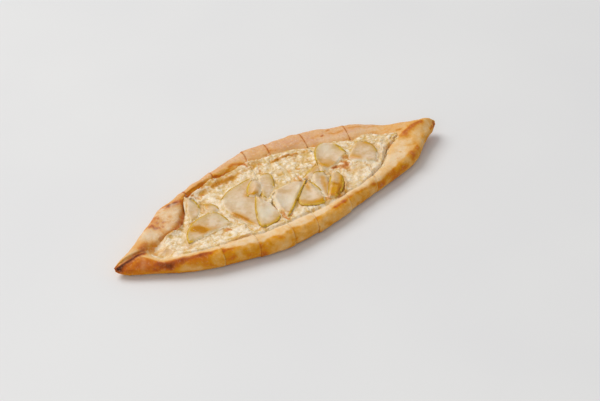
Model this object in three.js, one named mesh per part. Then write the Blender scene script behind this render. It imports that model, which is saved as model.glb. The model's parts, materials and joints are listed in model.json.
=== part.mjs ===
// A cheese, pear and honey pide: a long boat-shaped flatbread, 325 mm from tip to tip.
// A thick folded rim holds baked curd cheese, and thin wavy pear slices lie on the cheese.
// Six slanted knife cuts part the bread and its cheese into seven slices that still lie together.
// Millimetres, +Z up. The left tip is low and pinched, the right tip is raised, and the near
// side is at -Y. The whole stands on z = 0 with its box centred on the origin in plan.
import * as THREE from 'three';

const { lerp, clamp, smoothstep, degToRad } = THREE.MathUtils;
const TURN = 2 * Math.PI;

// Bread
const LENGTH = 325;
const GIRTH_HEIGHT = 8;
const GIRTH_SHARE = 0.52;
const FOOT_INSET = 5.5;
const FOOT_HEIGHT = 2.6;
const FOOT_SHARE = 0.4;
const RIDGE_INSET = 7.5;
const NEAR_RIDGE_SHARE = 0.2;
const FAR_RIDGE_SHARE = 0.1;
const RIM_PUFF = 0.6;
const CRUST_WAVE = 0.225;
const BLISTER_BULGE = 0.6;
const STATION_STEP = 5;
const LEAST_STEP = 0.5;

// Trough between the lips of the rim
const FLOOR_DEPTH = 9.5;
const FLOOR_SHARE = 0.28;
const NARROWEST_TROUGH = 4;
const SLOPE_SHARE = 0.3;
const SLOPE_EXTRA = 0.5;
const SLOPE_BEND = { along: 0.45, down: 0.6 };

// Tips
const TIP_ROUNDING = 9;
const TIP_SMALLEST = 0.34;
const TIP_AXIS_HEIGHT = 7;
const TIP_NOSE = 0.6;
const TIP_SLANT = 0.16;
const LEFT_TIP = { lift: 1.2, until: 14 };
const RIGHT_TIP = { lift: 5.5, from: 290, until: 316 };

// Knife cuts: place along the axis and how far a cut runs on for each mm across
const CUT_GAP = 0.7;
const CUTS = [
  { at: 82.8, slant: 0.175 },
  { at: 113.6, slant: 0.167 },
  { at: 147.1, slant: 0.217 },
  { at: 170.5, slant: 0.198 },
  { at: 205.7, slant: 0.174 },
  { at: 242.9, slant: 0.288 },
];
const SLICE_SHIFTS = [0, 0.5, -0.4, 0.6, -0.5, 0.4, 0];

// Cheese
const CHEESE_GAP = 0.4;
const CHEESE_START = 30;
const CHEESE_END = 285;
const CHEESE_EDGE = 0.7;
const CHEESE_FADE = 9;
const CHEESE_CROWN = 1.2;
const CHEESE_TOP_STEPS = 16;
const CURD = { height: 0.8, pitch: 15, turn: 20 };
const SMALL_CURD = { height: 0.4, pitch: 7, turn: -23 };

// Pear slices
const PEAR_THICKNESS = 1.4;
const PEAR_GAP = 0.4;
const PEAR_WAVE = { height: 0.5, pitch: 19, turn: 36 };
const PEAR_MESH_STEP = 5;
const SETTLE_STEPS = 160;
const SETTLE_SINK = 0.12;
const MAP_STEP = 1;
const SMALLEST_AREA = 0.01;

// A smooth curve through [along, value] knots, level beyond its ends
function through(knots) {
  const slopes = knots.map((knot, i) => {
    const before = knots[Math.max(i - 1, 0)];
    const after = knots[Math.min(i + 1, knots.length - 1)];
    return (after[1] - before[1]) / (after[0] - before[0]);
  });
  return (at) => {
    const last = knots.length - 1;
    if (at <= knots[0][0]) return knots[0][1];
    if (at >= knots[last][0]) return knots[last][1];
    const i = knots.findIndex((knot) => knot[0] > at) - 1;
    const span = knots[i + 1][0] - knots[i][0];
    const t = (at - knots[i][0]) / span;
    const rise = knots[i + 1][1] - knots[i][1];
    const first = slopes[i] * span;
    const second = slopes[i + 1] * span;
    const bend = (first + second - 2 * rise) * t + (3 * rise - 2 * first - second);
    return knots[i][1] + t * (first + t * bend);
  };
}

// The widest line of the bread on each side, seen from above
const nearGirth = through([
  [0, -4], [25, -19], [60, -38], [95, -49.5], [135, -58], [168, -58.5],
  [208, -52], [250, -44.5], [278, -38], [292, -33], [306, -21.3], [325, -12],
]);
const farGirth = through([
  [0, 4], [15, 5.5], [37, 22], [60, 38.3], [84, 45], [115, 53.3], [148, 60],
  [178, 57.5], [207, 51.5], [250, 35.5], [270, 24.5], [288, 11], [302, 2.5], [325, -1],
]);

// Where the dough's rim ends and the cheese begins, on each side
const nearLip = through([
  [0, -1.8], [22, -3], [35, -14], [55, -24], [80, -31], [110, -37], [150, -41.5],
  [200, -40], [240, -35.5], [260, -26], [270, -14], [287, -6.5], [302, -4.6], [325, -7.2],
]);
const farLip = through([
  [0, 1.4], [28, 0.5], [50, 7], [63, 10], [78, 32], [95, 39], [130, 43],
  [170, 40], [192, 37], [210, 28], [240, 17], [262, 13], [284, -2], [302, -2.4], [325, -5.2],
]);

// Heights of the rim's outer ridge and of its lip on each side
const nearRidgeHeight = through([
  [0, 8.2], [12, 9.6], [30, 12.5], [60, 16], [140, 17], [171, 15],
  [240, 16], [280, 15], [300, 16.5], [325, 16],
]);
const nearLipHeight = through([
  [0, 10], [12, 12.5], [24, 13.6], [36, 12.4], [60, 14.5], [140, 15.6], [171, 13.8],
  [240, 14.8], [270, 15.8], [287, 18], [303, 22], [314, 22.3], [325, 19],
]);
const farRidgeHeight = through([
  [0, 9.6], [12, 14], [22, 16], [60, 16.5], [250, 16.3], [280, 15], [302, 18.5], [325, 16],
]);
const farLipHeight = through([
  [0, 11.2], [12, 15], [24, 16.3], [36, 14.2], [60, 15.2],
  [250, 15], [280, 14], [302, 20.5], [314, 21], [325, 18],
]);

const cheeseLevel = through([[30, 13.2], [50, 11.6], [90, 12], [150, 13.4], [230, 14.6], [285, 15.2]]);
const slantAt = through([
  [0, TIP_SLANT],
  ...CUTS.map((cut) => [cut.at, cut.slant]),
  [LENGTH, TIP_SLANT],
]);

// The bread lies flat, and its tips rise off what it lies on
const underside = (along) => LEFT_TIP.lift * (1 - smoothstep(along, 0, LEFT_TIP.until))
  + RIGHT_TIP.lift * smoothstep(along, RIGHT_TIP.from, RIGHT_TIP.until);

// Raised blisters on the rim: place in plan, radius and height
const BLISTERS = [
  { x: 62, y: 31, radius: 9, height: 1.8 },
  { x: 84, y: 40, radius: 6, height: 1.2 },
  { x: 36, y: 12, radius: 6, height: 1.6 },
  { x: 55, y: 19, radius: 7, height: 1.3 },
  { x: 101, y: 45, radius: 5, height: 1.0 },
  { x: 207, y: 50, radius: 5, height: 3.2 },
  { x: 229, y: 43, radius: 5.5, height: 2.2 },
  { x: 276, y: -27, radius: 9, height: 1.6 },
  { x: 46, y: -24, radius: 6, height: 1.2 },
  { x: 128, y: -52, radius: 7, height: 0.9 },
];

function blisterHeight(x, y) {
  return BLISTERS.reduce((sum, blister) => {
    const reach = Math.hypot(x - blister.x, y - blister.y) / blister.radius;
    return sum + blister.height * (1 - smoothstep(reach, 0, 1));
  }, 0);
}

// Waves of baked dough: radians for each mm along x, y and z, and a phase
const DOUGH_WAVES = [
  { x: 0.11, y: 0.05, z: 0, phase: 1.3 },
  { x: 0.19, y: 0, z: -0.3, phase: 0.4 },
  { x: -0.07, y: 0.17, z: 0, phase: 2.2 },
  { x: 0.31, y: 0.23, z: 0.2, phase: 0 },
];

function doughWave(point) {
  return CRUST_WAVE * DOUGH_WAVES.reduce((sum, wave) => (
    sum + Math.sin(wave.x * point.x + wave.y * point.y + wave.z * point.z + wave.phase)), 0);
}

// Straight ripples with a pitch in mm, which run at a turn in degrees
function ripple(x, y, pitch, turn, phase = 0) {
  const angle = degToRad(turn);
  return Math.sin(TURN * (x * Math.cos(angle) + y * Math.sin(angle)) / pitch + phase);
}

// Lumps of curd on the cheese, from crossed ripples
function curds(x, y) {
  return [CURD, SMALL_CURD].reduce((sum, { height, pitch, turn }) => (
    sum + height * ripple(x, y, pitch, turn) * ripple(x, y, 0.9 * pitch, turn + 80, 1)), 0);
}

// How full a section is near the tips: 1 along the bread, falling on a round at each end
function tipFullness(along) {
  const inset = Math.min(along, LENGTH - along);
  if (inset >= TIP_ROUNDING) return 1;
  const lag = 1 - inset / TIP_ROUNDING;
  return Math.max(TIP_SMALLEST, Math.sqrt(1 - lag * lag));
}

// The control lines of the section at one place along the axis
function sectionLines(along, shift) {
  const near = nearGirth(along) + shift;
  const far = farGirth(along) + shift;
  const lipN = nearLip(along) + shift;
  const lipF = farLip(along) + shift;
  const across = far - lipN;
  const depth = Math.min(FLOOR_DEPTH, FLOOR_SHARE * Math.max(lipF - lipN - NARROWEST_TROUGH, 0));
  return {
    near, far, lipN, lipF, depth,
    base: underside(along),
    slope: Math.min(depth + SLOPE_EXTRA, SLOPE_SHARE * (lipF - lipN)),
    footN: near + Math.min(FOOT_INSET, FOOT_SHARE * Math.abs(near)),
    footF: far - Math.min(FOOT_INSET, FOOT_SHARE * across),
    ridgeN: near + Math.min(RIDGE_INSET, NEAR_RIDGE_SHARE * Math.abs(near)),
    ridgeF: far - Math.min(RIDGE_INSET, FAR_RIDGE_SHARE * across),
    heightN: nearRidgeHeight(along),
    heightF: farRidgeHeight(along),
    topN: nearLipHeight(along),
    topF: farLipHeight(along),
  };
}

// The dough's top across the trough, from the near lip to the far lip, as [y, z] points
const TROUGH_SHARES = [0, 0.25, 0.5, 0.75, 1];
function trough({ lipN, lipF, topN, topF, slope, depth }) {
  const floor = Math.min(topN, topF) - depth;
  return [
    [lipN, topN],
    [lipN + SLOPE_BEND.along * slope, lerp(topN, floor, SLOPE_BEND.down)],
    ...TROUGH_SHARES.map((share) => [lerp(lipN + slope, lipF - slope, share), floor]),
    [lipF - SLOPE_BEND.along * slope, lerp(topF, floor, SLOPE_BEND.down)],
    [lipF, topF],
  ];
}

// The outside of the rim from its widest line up to its ridge, a quarter round
const WALL_SHARES = [0, 0.35, 0.7, 1];
function wall(outer, ridge, girth, top) {
  return WALL_SHARES.map((share) => {
    const angle = share * Math.PI / 2;
    return [lerp(ridge, outer, Math.cos(angle)), lerp(girth, top, Math.sin(angle))];
  });
}

// The puffed top of the rim between its ridge and its lip
function rimTop(shares, ridge, top, lip, lipTop) {
  return shares.map((share) => [
    lerp(ridge, lip, share),
    lerp(top, lipTop, share) + RIM_PUFF * Math.sin(Math.PI * share),
  ]);
}

// One closed section of the bread as [y, z] points, from the near foot over the top and back
const NEAR_TOP_SHARES = [0.5];
const FAR_TOP_SHARES = [0.33, 0.67];
const VALLEY_START = 1 + WALL_SHARES.length + NEAR_TOP_SHARES.length;
const VALLEY_END = VALLEY_START + TROUGH_SHARES.length + 4;
function breadSection(line) {
  const girth = (top) => line.base + Math.min(GIRTH_HEIGHT, GIRTH_SHARE * (top - line.base));
  const girthN = girth(line.heightN);
  const girthF = girth(line.heightF);
  const foot = line.base + Math.min(FOOT_HEIGHT, (girthN - line.base) / 2);
  return [
    [lerp(line.near, line.footN, FOOT_SHARE), foot],
    ...wall(line.near, line.ridgeN, girthN, line.heightN),
    ...rimTop(NEAR_TOP_SHARES, line.ridgeN, line.heightN, line.lipN, line.topN),
    ...trough(line),
    ...rimTop(FAR_TOP_SHARES, line.ridgeF, line.heightF, line.lipF, line.topF).reverse(),
    ...wall(line.far, line.ridgeF, girthF, line.heightF).reverse(),
    [lerp(line.far, line.footF, FOOT_SHARE), foot],
    [line.footF, line.base],
    [line.footN, line.base],
  ];
}

// Sets a section's y and z in space on the slanted line across the bread
function place(along, y, z) {
  return new THREE.Vector3(along + slantAt(along) * y, y, z);
}

// Uneven dough: waves and blisters push the rim's wall out and its top up, and the foot stays flat
function roughen(point, line) {
  const above = smoothstep(point.z, line.base + 1, line.base + GIRTH_HEIGHT);
  const wave = doughWave(point) * above;
  const blister = blisterHeight(point.x, point.y) * above;
  const onWall = point.y < line.ridgeN || point.y > line.ridgeF;
  const outward = point.y > (line.near + line.far) / 2 ? 1 : -1;
  if (onWall) point.y += outward * (wave + BLISTER_BULGE * blister);
  point.z += (wave + blister) * above * (onWall ? 0.5 : 1);
  return point;
}

function breadRing(along, shift) {
  const line = sectionLines(along, shift);
  const full = tipFullness(along);
  const middle = (line.lipN + line.lipF) / 2;
  return breadSection(line).map(([y, z]) => {
    const level = lerp(TIP_AXIS_HEIGHT + line.base, z, full);
    return roughen(place(along, lerp(middle, y, full), level), line);
  });
}

function bodyFrom(positions, index) {
  const geometry = new THREE.BufferGeometry();
  geometry.setAttribute('position', new THREE.Float32BufferAttribute(positions, 3));
  geometry.setIndex(index);
  geometry.computeVertexNormals();
  return geometry;
}

const acrossOf = (ring) => ring.map((point) => new THREE.Vector2(point.y, point.z));

// The flat end of a loft, facing along +X (facing 1) or -X (facing -1)
function flatEnd(ring, start, facing) {
  const outline = acrossOf(ring);
  const faces = THREE.ShapeUtils.triangulateShape(outline, []);
  const areas = faces.map((face) => THREE.ShapeUtils.area(face.map((i) => outline[i])));
  const turned = areas.reduce((sum, area) => sum + area, 0) * facing < 0;
  return faces.flatMap(([a, b, c]) => [a, turned ? c : b, turned ? b : c]).map((i) => start + i);
}

// Joins rings of points, each with the same count, into one closed body. An end with a tip point
// closes in a blunt cone, and any other end is flat.
function loft(rings, { startTip, endTip } = {}) {
  const count = rings[0].length;
  const last = (rings.length - 1) * count;
  const positions = rings.flatMap((ring) => ring.flatMap((point) => point.toArray()));
  const counterclockwise = THREE.ShapeUtils.area(acrossOf(rings[0])) > 0;
  const index = [];
  for (let r = 0; r < rings.length - 1; r += 1) {
    for (let i = 0; i < count; i += 1) {
      const [a, b] = [r * count + i, r * count + (i + 1) % count];
      const sides = [a, b, a + count, b, b + count, a + count];
      index.push(...(counterclockwise ? sides : sides.reverse()));
    }
  }
  const coneEnd = (start, facing, tip) => {
    const apex = positions.push(...tip.toArray()) / 3 - 1;
    return rings[0].flatMap((_, i) => {
      const [a, b] = [start + i, start + (i + 1) % count];
      return counterclockwise === facing > 0 ? [a, b, apex] : [b, a, apex];
    });
  };
  index.push(...(startTip ? coneEnd(0, -1, startTip) : flatEnd(rings[0], 0, -1)));
  index.push(...(endTip ? coneEnd(last, 1, endTip) : flatEnd(rings[rings.length - 1], last, 1)));
  return bodyFrom(positions, index);
}

// Places along the axis between two ends, a step apart and closer on the rounds of the tips
const ROUND_SHARES = [0.12, 0.35, 0.65];
function stations(from, to) {
  const count = Math.max(2, Math.round((to - from) / STATION_STEP));
  const even = Array.from({ length: count + 1 }, (_, i) => lerp(from, to, i / count));
  const rounds = ROUND_SHARES.map((share) => share * TIP_ROUNDING);
  const fixed = [...rounds, CHEESE_START, CHEESE_END, ...rounds.map((inset) => LENGTH - inset)]
    .filter((at) => at > from && at < to);
  return [...even.filter((at) => fixed.every((other) => Math.abs(other - at) > LEAST_STEP)), ...fixed]
    .sort((a, b) => a - b);
}

const SLICE_ENDS = [0, ...CUTS.map((cut) => cut.at), LENGTH];
const SLICES = SLICE_SHIFTS.map((shift, i) => ({
  shift,
  from: SLICE_ENDS[i] + (i > 0 ? CUT_GAP / 2 : 0),
  to: SLICE_ENDS[i + 1] - (i < CUTS.length ? CUT_GAP / 2 : 0),
}));

// The outermost point of a tip, a little beyond the middle of its last ring
function tipPoint(ring, outward) {
  const middle = ring.reduce((sum, point) => sum.add(point), new THREE.Vector3());
  middle.divideScalar(ring.length);
  return middle.setX(middle.x + outward * TIP_NOSE);
}

function crustSlice(slice) {
  const rings = stations(slice.from, slice.to).map((along) => breadRing(along, slice.shift));
  return loft(rings, {
    startTip: slice.from === 0 ? tipPoint(rings[0], -1) : undefined,
    endTip: slice.to === LENGTH ? tipPoint(rings[rings.length - 1], 1) : undefined,
  });
}

// The height at y of a line of points that runs across the trough
function heightOn(line, y) {
  const next = line.findIndex((point) => point.y >= y);
  const [a, b] = [line[Math.max(next - 1, 0)], line[next]];
  return a.y < b.y ? lerp(a.z, b.z, (y - a.y) / (b.y - a.y)) : b.z;
}

// Cheese: its underside follows the trough a gap above it, and its top is a thin film on the
// lips and at its ends, and elsewhere a level bed with lumps of curd
function cheeseRing(along, shift) {
  const { lipN, lipF } = sectionLines(along, shift);
  const under = breadRing(along, shift).slice(VALLEY_START, VALLEY_END)
    .map((point) => point.setZ(point.z + CHEESE_GAP));
  const [first, last] = [under[0], under[under.length - 1]];
  const inside = smoothstep(Math.min(along - CHEESE_START, CHEESE_END - along), 0, CHEESE_FADE);
  const top = Array.from({ length: CHEESE_TOP_STEPS - 1 }, (_, i) => {
    const share = (i + 1) / CHEESE_TOP_STEPS;
    const y = lerp(lipN, lipF, share);
    const edge = Math.min(share, 1 - share) * (lipF - lipN);
    const film = heightOn(under, y) + CHEESE_EDGE;
    const rim = lerp(film, lerp(first.z, last.z, share) + CHEESE_EDGE, inside);
    const point = place(along, y, 0);
    const bed = cheeseLevel(along) + CHEESE_CROWN * Math.sin(Math.PI * share) + curds(point.x, point.y);
    point.z = Math.max(film, lerp(rim, bed, inside * smoothstep(edge, 0, CHEESE_FADE)));
    return point;
  });
  const edges = [first, last].map((point) => point.clone().setZ(point.z + CHEESE_EDGE));
  return [...under, edges[1], ...top.reverse(), edges[0]];
}

function cheeseSlice(slice) {
  const from = Math.max(slice.from, CHEESE_START);
  const to = Math.min(slice.to, CHEESE_END);
  const inside = stations(slice.from, slice.to).filter((at) => at > from && at < to);
  return loft([from, ...inside, to].map((at) => cheeseRing(at, slice.shift)));
}

// The highest solid at each place of a grid over the bread
const MAP_ROWS = 4096;
class HeightMap {
  constructor() {
    this.cells = new Map();
  }

  key(column, row) {
    return column * MAP_ROWS + row + MAP_ROWS / 2;
  }

  // The grid places inside a flat triangle, each with its weights towards the corners
  placesIn(corners) {
    const flat = new THREE.Triangle(...corners.map(({ x, y }) => new THREE.Vector3(x, y, 0)));
    if (flat.getArea() < SMALLEST_AREA) return [];
    const columns = corners.map((corner) => corner.x / MAP_STEP);
    const rows = corners.map((corner) => corner.y / MAP_STEP);
    const places = [];
    for (let column = Math.floor(Math.min(...columns)); column <= Math.max(...columns); column += 1) {
      for (let row = Math.floor(Math.min(...rows)); row <= Math.max(...rows); row += 1) {
        const at = new THREE.Vector3(column * MAP_STEP, row * MAP_STEP, 0);
        const weights = flat.getBarycoord(at, new THREE.Vector3()).toArray();
        if (Math.min(...weights) >= 0) places.push({ column, row, weights });
      }
    }
    return places;
  }

  raise(geometry) {
    const position = geometry.getAttribute('position');
    const corner = (i) => new THREE.Vector3().fromBufferAttribute(position, geometry.index.getX(i));
    for (let i = 0; i < geometry.index.count; i += 3) {
      const corners = [corner(i), corner(i + 1), corner(i + 2)];
      this.placesIn(corners).forEach(({ column, row, weights }) => {
        const z = weights.reduce((sum, weight, k) => sum + weight * corners[k].z, 0);
        const key = this.key(column, row);
        this.cells.set(key, Math.max(z, this.cells.get(key) ?? 0));
      });
    }
  }

  // The highest solid at a place and beside it
  topAround(column, row) {
    const steps = [-1, 0, 1];
    const keys = steps.flatMap((i) => steps.map((k) => this.key(column + i, row + k)));
    return Math.max(...keys.map((key) => this.cells.get(key) ?? 0));
  }

  // How high a sheet must be over a flat triangle: at its corners, halfway along its edges
  // and at the grid places inside
  contacts(corners) {
    const edges = [[1, 0, 0], [0, 1, 0], [0, 0, 1], [0.5, 0.5, 0], [0, 0.5, 0.5], [0.5, 0, 0.5]];
    const onEdges = edges.map((weights) => {
      const at = new THREE.Vector2();
      weights.forEach((weight, k) => at.addScaledVector(corners[k], weight / MAP_STEP));
      return { column: Math.round(at.x), row: Math.round(at.y), weights };
    });
    return [...onEdges, ...this.placesIn(corners)]
      .map(({ column, row, weights }) => ({ weights, least: this.topAround(column, row) + PEAR_GAP }));
  }
}

// Pear slices in the order they were laid. Each runs from one end to the other in plan, bulges
// to its left and to its right, and is pointed (near 1) or blunt (near 0.25) at each end.
// The edge that faces the angle `side` curls up by `rise`.
const PEARS = [
  { from: [95.4, 18.6], to: [101.9, 4.8], left: 3.8, right: 6.6, ends: [0.66, 0.6], side: 90, rise: 0 },
  { from: [116.5, -37.1], to: [148.6, 22.9], left: 31, right: 1, ends: [1.15, 1], side: 150, rise: 2 },
  { from: [74, 5.8], to: [86.8, 36.6], left: 1.5, right: 11.7, ends: [0.68, 0.75], side: 20, rise: 2 },
  { from: [60.3, -14], to: [101.5, -15], left: 21, right: 0.8, ends: [0.5, 0.25], side: 120, rise: 2 },
  { from: [142.2, -7.7], to: [159.5, 20], left: 8.4, right: 6.6, ends: [0.51, 0.35], side: 0, rise: 1.5 },
  { from: [146.6, 17.7], to: [130.6, 0.8], left: 8.6, right: 4.8, ends: [0.37, 0.36], side: 170, rise: 3 },
  { from: [117.5, -36.3], to: [135.3, -0.1], left: 3.4, right: 17.6, ends: [0.65, 0.94], side: 200, rise: 2 },
  { from: [177.8, -5.6], to: [200.8, 4.1], left: 0.5, right: 9, ends: [0.46, 0.31], side: 90, rise: 1 },
  { from: [197.9, -6.4], to: [182.3, -37.1], left: 5.9, right: 9.7, ends: [0.37, 0.76], side: 0, rise: 1 },
  { from: [169, -37.9], to: [182.7, -8], left: 12.6, right: 10.6, ends: [0.25, 0.93], side: 30, rise: 2 },
  { from: [143.4, -36.2], to: [182, -7.7], left: 21.5, right: 1, ends: [0.71, 0.8], side: 300, rise: 2 },
  { from: [229.7, -2.4], to: [247.2, -22.7], left: 22, right: 5.2, ends: [0.25, 0.47], side: 40, rise: 2 },
  {
    from: [199.8, -2.6], to: [231.5, -1.6], left: 28.3, right: 12.9, ends: [0.66, 0.25], side: 160, rise: 3,
    hollow: { at: 0.78, reach: 0.39, depth: 11.7 },
  },
  { from: [182.4, -38.5], to: [207.8, -10.7], left: 1.6, right: 11.5, ends: [0.55, 0.54], side: 315, rise: 4 },
];

// How far a slice bulges at a share of its length, as a share of its widest place
function bulge(share, [first, last]) {
  const widest = first / (first + last);
  return (share / widest) ** first * ((1 - share) / (1 - widest)) ** last;
}

// A slice in plan: lines across it between its two single end points, each line divided alike
function pearPlan(pear, lines, across) {
  const from = new THREE.Vector2(...pear.from);
  const to = new THREE.Vector2(...pear.to);
  const run = to.clone().sub(from);
  const leftward = new THREE.Vector2(-run.y, run.x).normalize();
  const { at, reach, depth } = pear.hollow ?? { at: 0, reach: 1, depth: 0 };
  const plan = [from];
  for (let i = 1; i < lines; i += 1) {
    const share = (1 - Math.cos(Math.PI * i / lines)) / 2;
    const hollow = depth * Math.exp(-(((share - at) / reach) ** 2));
    const left = pear.left * bulge(share, pear.ends);
    const right = pear.right * bulge(share, pear.ends) - hollow;
    for (let k = 0; k <= across; k += 1) {
      const offset = lerp(-right, left, k / across);
      plan.push(from.clone().addScaledVector(run, share).addScaledVector(leftward, offset));
    }
  }
  return [...plan, to];
}

// Triangles of a slice, and its edge as a loop
function pearFaces(lines, across) {
  const at = (line, k) => 1 + (line - 1) * (across + 1) + k;
  const end = 1 + (lines - 1) * (across + 1);
  const faces = [];
  for (let k = 0; k < across; k += 1) {
    faces.push([0, at(1, k), at(1, k + 1)], [end, at(lines - 1, k + 1), at(lines - 1, k)]);
    for (let i = 1; i < lines - 1; i += 1) {
      const [a, b, c, d] = [at(i, k), at(i + 1, k), at(i + 1, k + 1), at(i, k + 1)];
      faces.push([a, b, c], [a, c, d]);
    }
  }
  const rights = Array.from({ length: lines - 1 }, (_, i) => at(i + 1, 0));
  const lefts = Array.from({ length: lines - 1 }, (_, i) => at(lines - 1 - i, across));
  return { faces, edge: [0, ...rights, end, ...lefts] };
}

// Lays a slice on what is below it: it smooths and sinks step by step, and wherever a triangle
// would come closer than the gap to what carries it, its corners are lifted again
function settle(plan, faces, heights, wanted) {
  const neighbours = plan.map(() => new Set());
  faces.forEach(([a, b, c]) => {
    neighbours[a].add(b).add(c);
    neighbours[b].add(a).add(c);
    neighbours[c].add(a).add(b);
  });
  const contacts = faces.flatMap((face) => heights.contacts(face.map((i) => plan[i]))
    .map((contact) => ({ ...contact, face })));
  const highest = Math.max(...contacts.map((contact) => contact.least));
  let z = plan.map(() => highest);
  for (let step = 0; step < SETTLE_STEPS; step += 1) {
    z = z.map((height, i) => {
      const beside = [...neighbours[i]];
      const mean = wanted[i] + beside.reduce((sum, k) => sum + z[k] - wanted[k], 0) / beside.length;
      return (height + mean) / 2 - SETTLE_SINK;
    });
    contacts.forEach(({ face, weights, least }) => {
      const gap = least - weights.reduce((sum, weight, k) => sum + weight * z[face[k]], 0);
      if (gap <= 0) return;
      const share = weights.reduce((sum, weight) => sum + weight * weight, 0);
      weights.forEach((weight, k) => {
        z[face[k]] += gap * weight / share;
      });
    });
  }
  return z;
}

// The height that each point of a slice would have over level ground: its curl and its waves
function pearCurl(pear, plan, phase) {
  const middle = plan.reduce((sum, point) => sum.add(point), new THREE.Vector2()).divideScalar(plan.length);
  const side = new THREE.Vector2(1, 0).rotateAround(new THREE.Vector2(), degToRad(pear.side));
  const offsets = plan.map((point) => point.clone().sub(middle).dot(side));
  const reach = Math.max(...offsets);
  const { height, pitch, turn } = PEAR_WAVE;
  return plan.map(({ x, y }, i) => (
    pear.rise * clamp(offsets[i] / reach, 0, 1) ** 2 + height * ripple(x, y, pitch, turn, phase)));
}

// One thin wavy slice: both faces have the same triangles, and a wall joins their edges
function pearSlice(pear, heights, phase) {
  const length = Math.hypot(pear.to[0] - pear.from[0], pear.to[1] - pear.from[1]);
  const lines = Math.round(length / PEAR_MESH_STEP) + 3;
  const across = Math.max(3, Math.round((pear.left + pear.right) / PEAR_MESH_STEP));
  const plan = pearPlan(pear, lines, across);
  const { faces, edge } = pearFaces(lines, across);
  const z = settle(plan, faces, heights, pearCurl(pear, plan, phase));
  const count = plan.length;
  const lower = plan.flatMap((point, i) => [point.x, point.y, z[i]]);
  const upper = plan.flatMap((point, i) => [point.x, point.y, z[i] + PEAR_THICKNESS]);
  const index = faces.flatMap(([a, b, c]) => [a, c, b, a + count, b + count, c + count]);
  edge.forEach((a, i) => {
    const b = edge[(i + 1) % edge.length];
    index.push(a, b, b + count, a, b + count, a + count);
  });
  return bodyFrom([...lower, ...upper], index);
}

const MATERIALS = {
  crust: () => new THREE.MeshStandardMaterial({ color: 0xd9a664, roughness: 0.7, metalness: 0 }),
  cheese: () => new THREE.MeshStandardMaterial({ color: 0xe6dcc0, roughness: 0.5, metalness: 0 }),
  pear: () => new THREE.MeshStandardMaterial({ color: 0xd8c795, roughness: 0.35, metalness: 0 }),
};

function addPiece(group, name, geometry, material) {
  const mesh = new THREE.Mesh(geometry, material);
  mesh.name = name;
  group.add(mesh);
}

function buildPide() {
  const pide = new THREE.Group();
  const heights = new HeightMap();
  SLICES.forEach((slice, i) => {
    const crust = crustSlice(slice);
    const cheese = cheeseSlice(slice);
    heights.raise(crust);
    heights.raise(cheese);
    addPiece(pide, `crust_slice_${i + 1}`, crust, MATERIALS.crust());
    addPiece(pide, `cheese_slice_${i + 1}`, cheese, MATERIALS.cheese());
  });
  PEARS.forEach((pear, i) => {
    const slice = pearSlice(pear, heights, 2 * i);
    heights.raise(slice);
    addPiece(pide, `pear_slice_${i + 1}`, slice, MATERIALS.pear());
  });
  const box = new THREE.Box3().setFromObject(pide);
  const centre = box.getCenter(new THREE.Vector3());
  pide.position.set(-centre.x, -centre.y, -box.min.z);
  return pide;
}

const model = new THREE.Group();
model.add(buildPide());
export default model;
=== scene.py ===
"""The looks of a cheese, pear and honey pide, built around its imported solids."""

import json
import math

import bmesh
import bpy
import numpy as np
from bpy.props import FloatProperty, FloatVectorProperty, PointerProperty
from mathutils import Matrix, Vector, noise
from mathutils.bvhtree import BVHTree
from mathutils.kdtree import KDTree

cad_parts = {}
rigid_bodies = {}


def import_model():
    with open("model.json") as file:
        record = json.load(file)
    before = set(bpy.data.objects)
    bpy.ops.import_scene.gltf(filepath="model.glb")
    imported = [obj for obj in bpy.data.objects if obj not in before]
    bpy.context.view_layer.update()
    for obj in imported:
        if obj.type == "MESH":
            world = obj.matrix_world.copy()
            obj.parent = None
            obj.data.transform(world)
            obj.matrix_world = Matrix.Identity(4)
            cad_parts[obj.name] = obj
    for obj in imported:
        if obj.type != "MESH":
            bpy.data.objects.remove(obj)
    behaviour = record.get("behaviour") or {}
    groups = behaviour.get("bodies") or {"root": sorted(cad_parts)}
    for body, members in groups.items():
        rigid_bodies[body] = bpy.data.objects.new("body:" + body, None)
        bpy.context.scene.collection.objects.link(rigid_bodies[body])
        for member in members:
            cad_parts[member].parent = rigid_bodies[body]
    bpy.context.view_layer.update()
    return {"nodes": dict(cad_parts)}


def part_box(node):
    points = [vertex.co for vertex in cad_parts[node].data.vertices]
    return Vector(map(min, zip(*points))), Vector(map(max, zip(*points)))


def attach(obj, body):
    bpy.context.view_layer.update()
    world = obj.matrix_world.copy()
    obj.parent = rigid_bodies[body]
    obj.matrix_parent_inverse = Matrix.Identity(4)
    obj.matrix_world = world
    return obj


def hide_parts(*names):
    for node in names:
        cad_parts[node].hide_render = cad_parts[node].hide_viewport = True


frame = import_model()

bl_info = {
    "name": "Cheese, pear and honey pide",
    "version": (1, 0, 0),
    "blender": (4, 5, 0),
    "location": "3D View > Sidebar > Pide",
    "description": "Dresses the solids of a sliced pide as baked crust, cheese, pear and honey",
    "category": "Object",
}

# A millimetre, in metres.
MM = 0.001

# Two points of a solid that are closer than this, in metres, are one.
WELD = 1e-5

# Keeps a number clear of nothing.
TINY = 1e-12

# More than this share of the whole is most of it.
MOST = 0.5

# How many slices the bread is cut into, and how many slices of pear lie on it.
SLICES = 7
PEAR_SLICES = 14

FLOOR_HEIGHT = 0.0
UPWARD = (0, 0, 1)

# What points are multiplied by to lay them flat.
IN_PLAN = (1, 1, 0)

# How far apart the places of two seeds lie in the noise.
SEED_STEP = 17.31

# How many half widths a mark takes to fade.
MARK_SPREAD = 1.2

# How often the faces of a solid are divided to round it.
SLICE_ROUNDING = 3
PEAR_ROUNDING = 2

# How much two triangles of a solid may differ in facing and in shape and still be joined.
JOINED_FACE_ANGLE = math.radians(50)
JOINED_SHAPE_ANGLE = math.radians(70)

# How sharp an edge of a pear slice is that bounds its rim.
RIM_ANGLE = math.radians(40)

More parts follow.
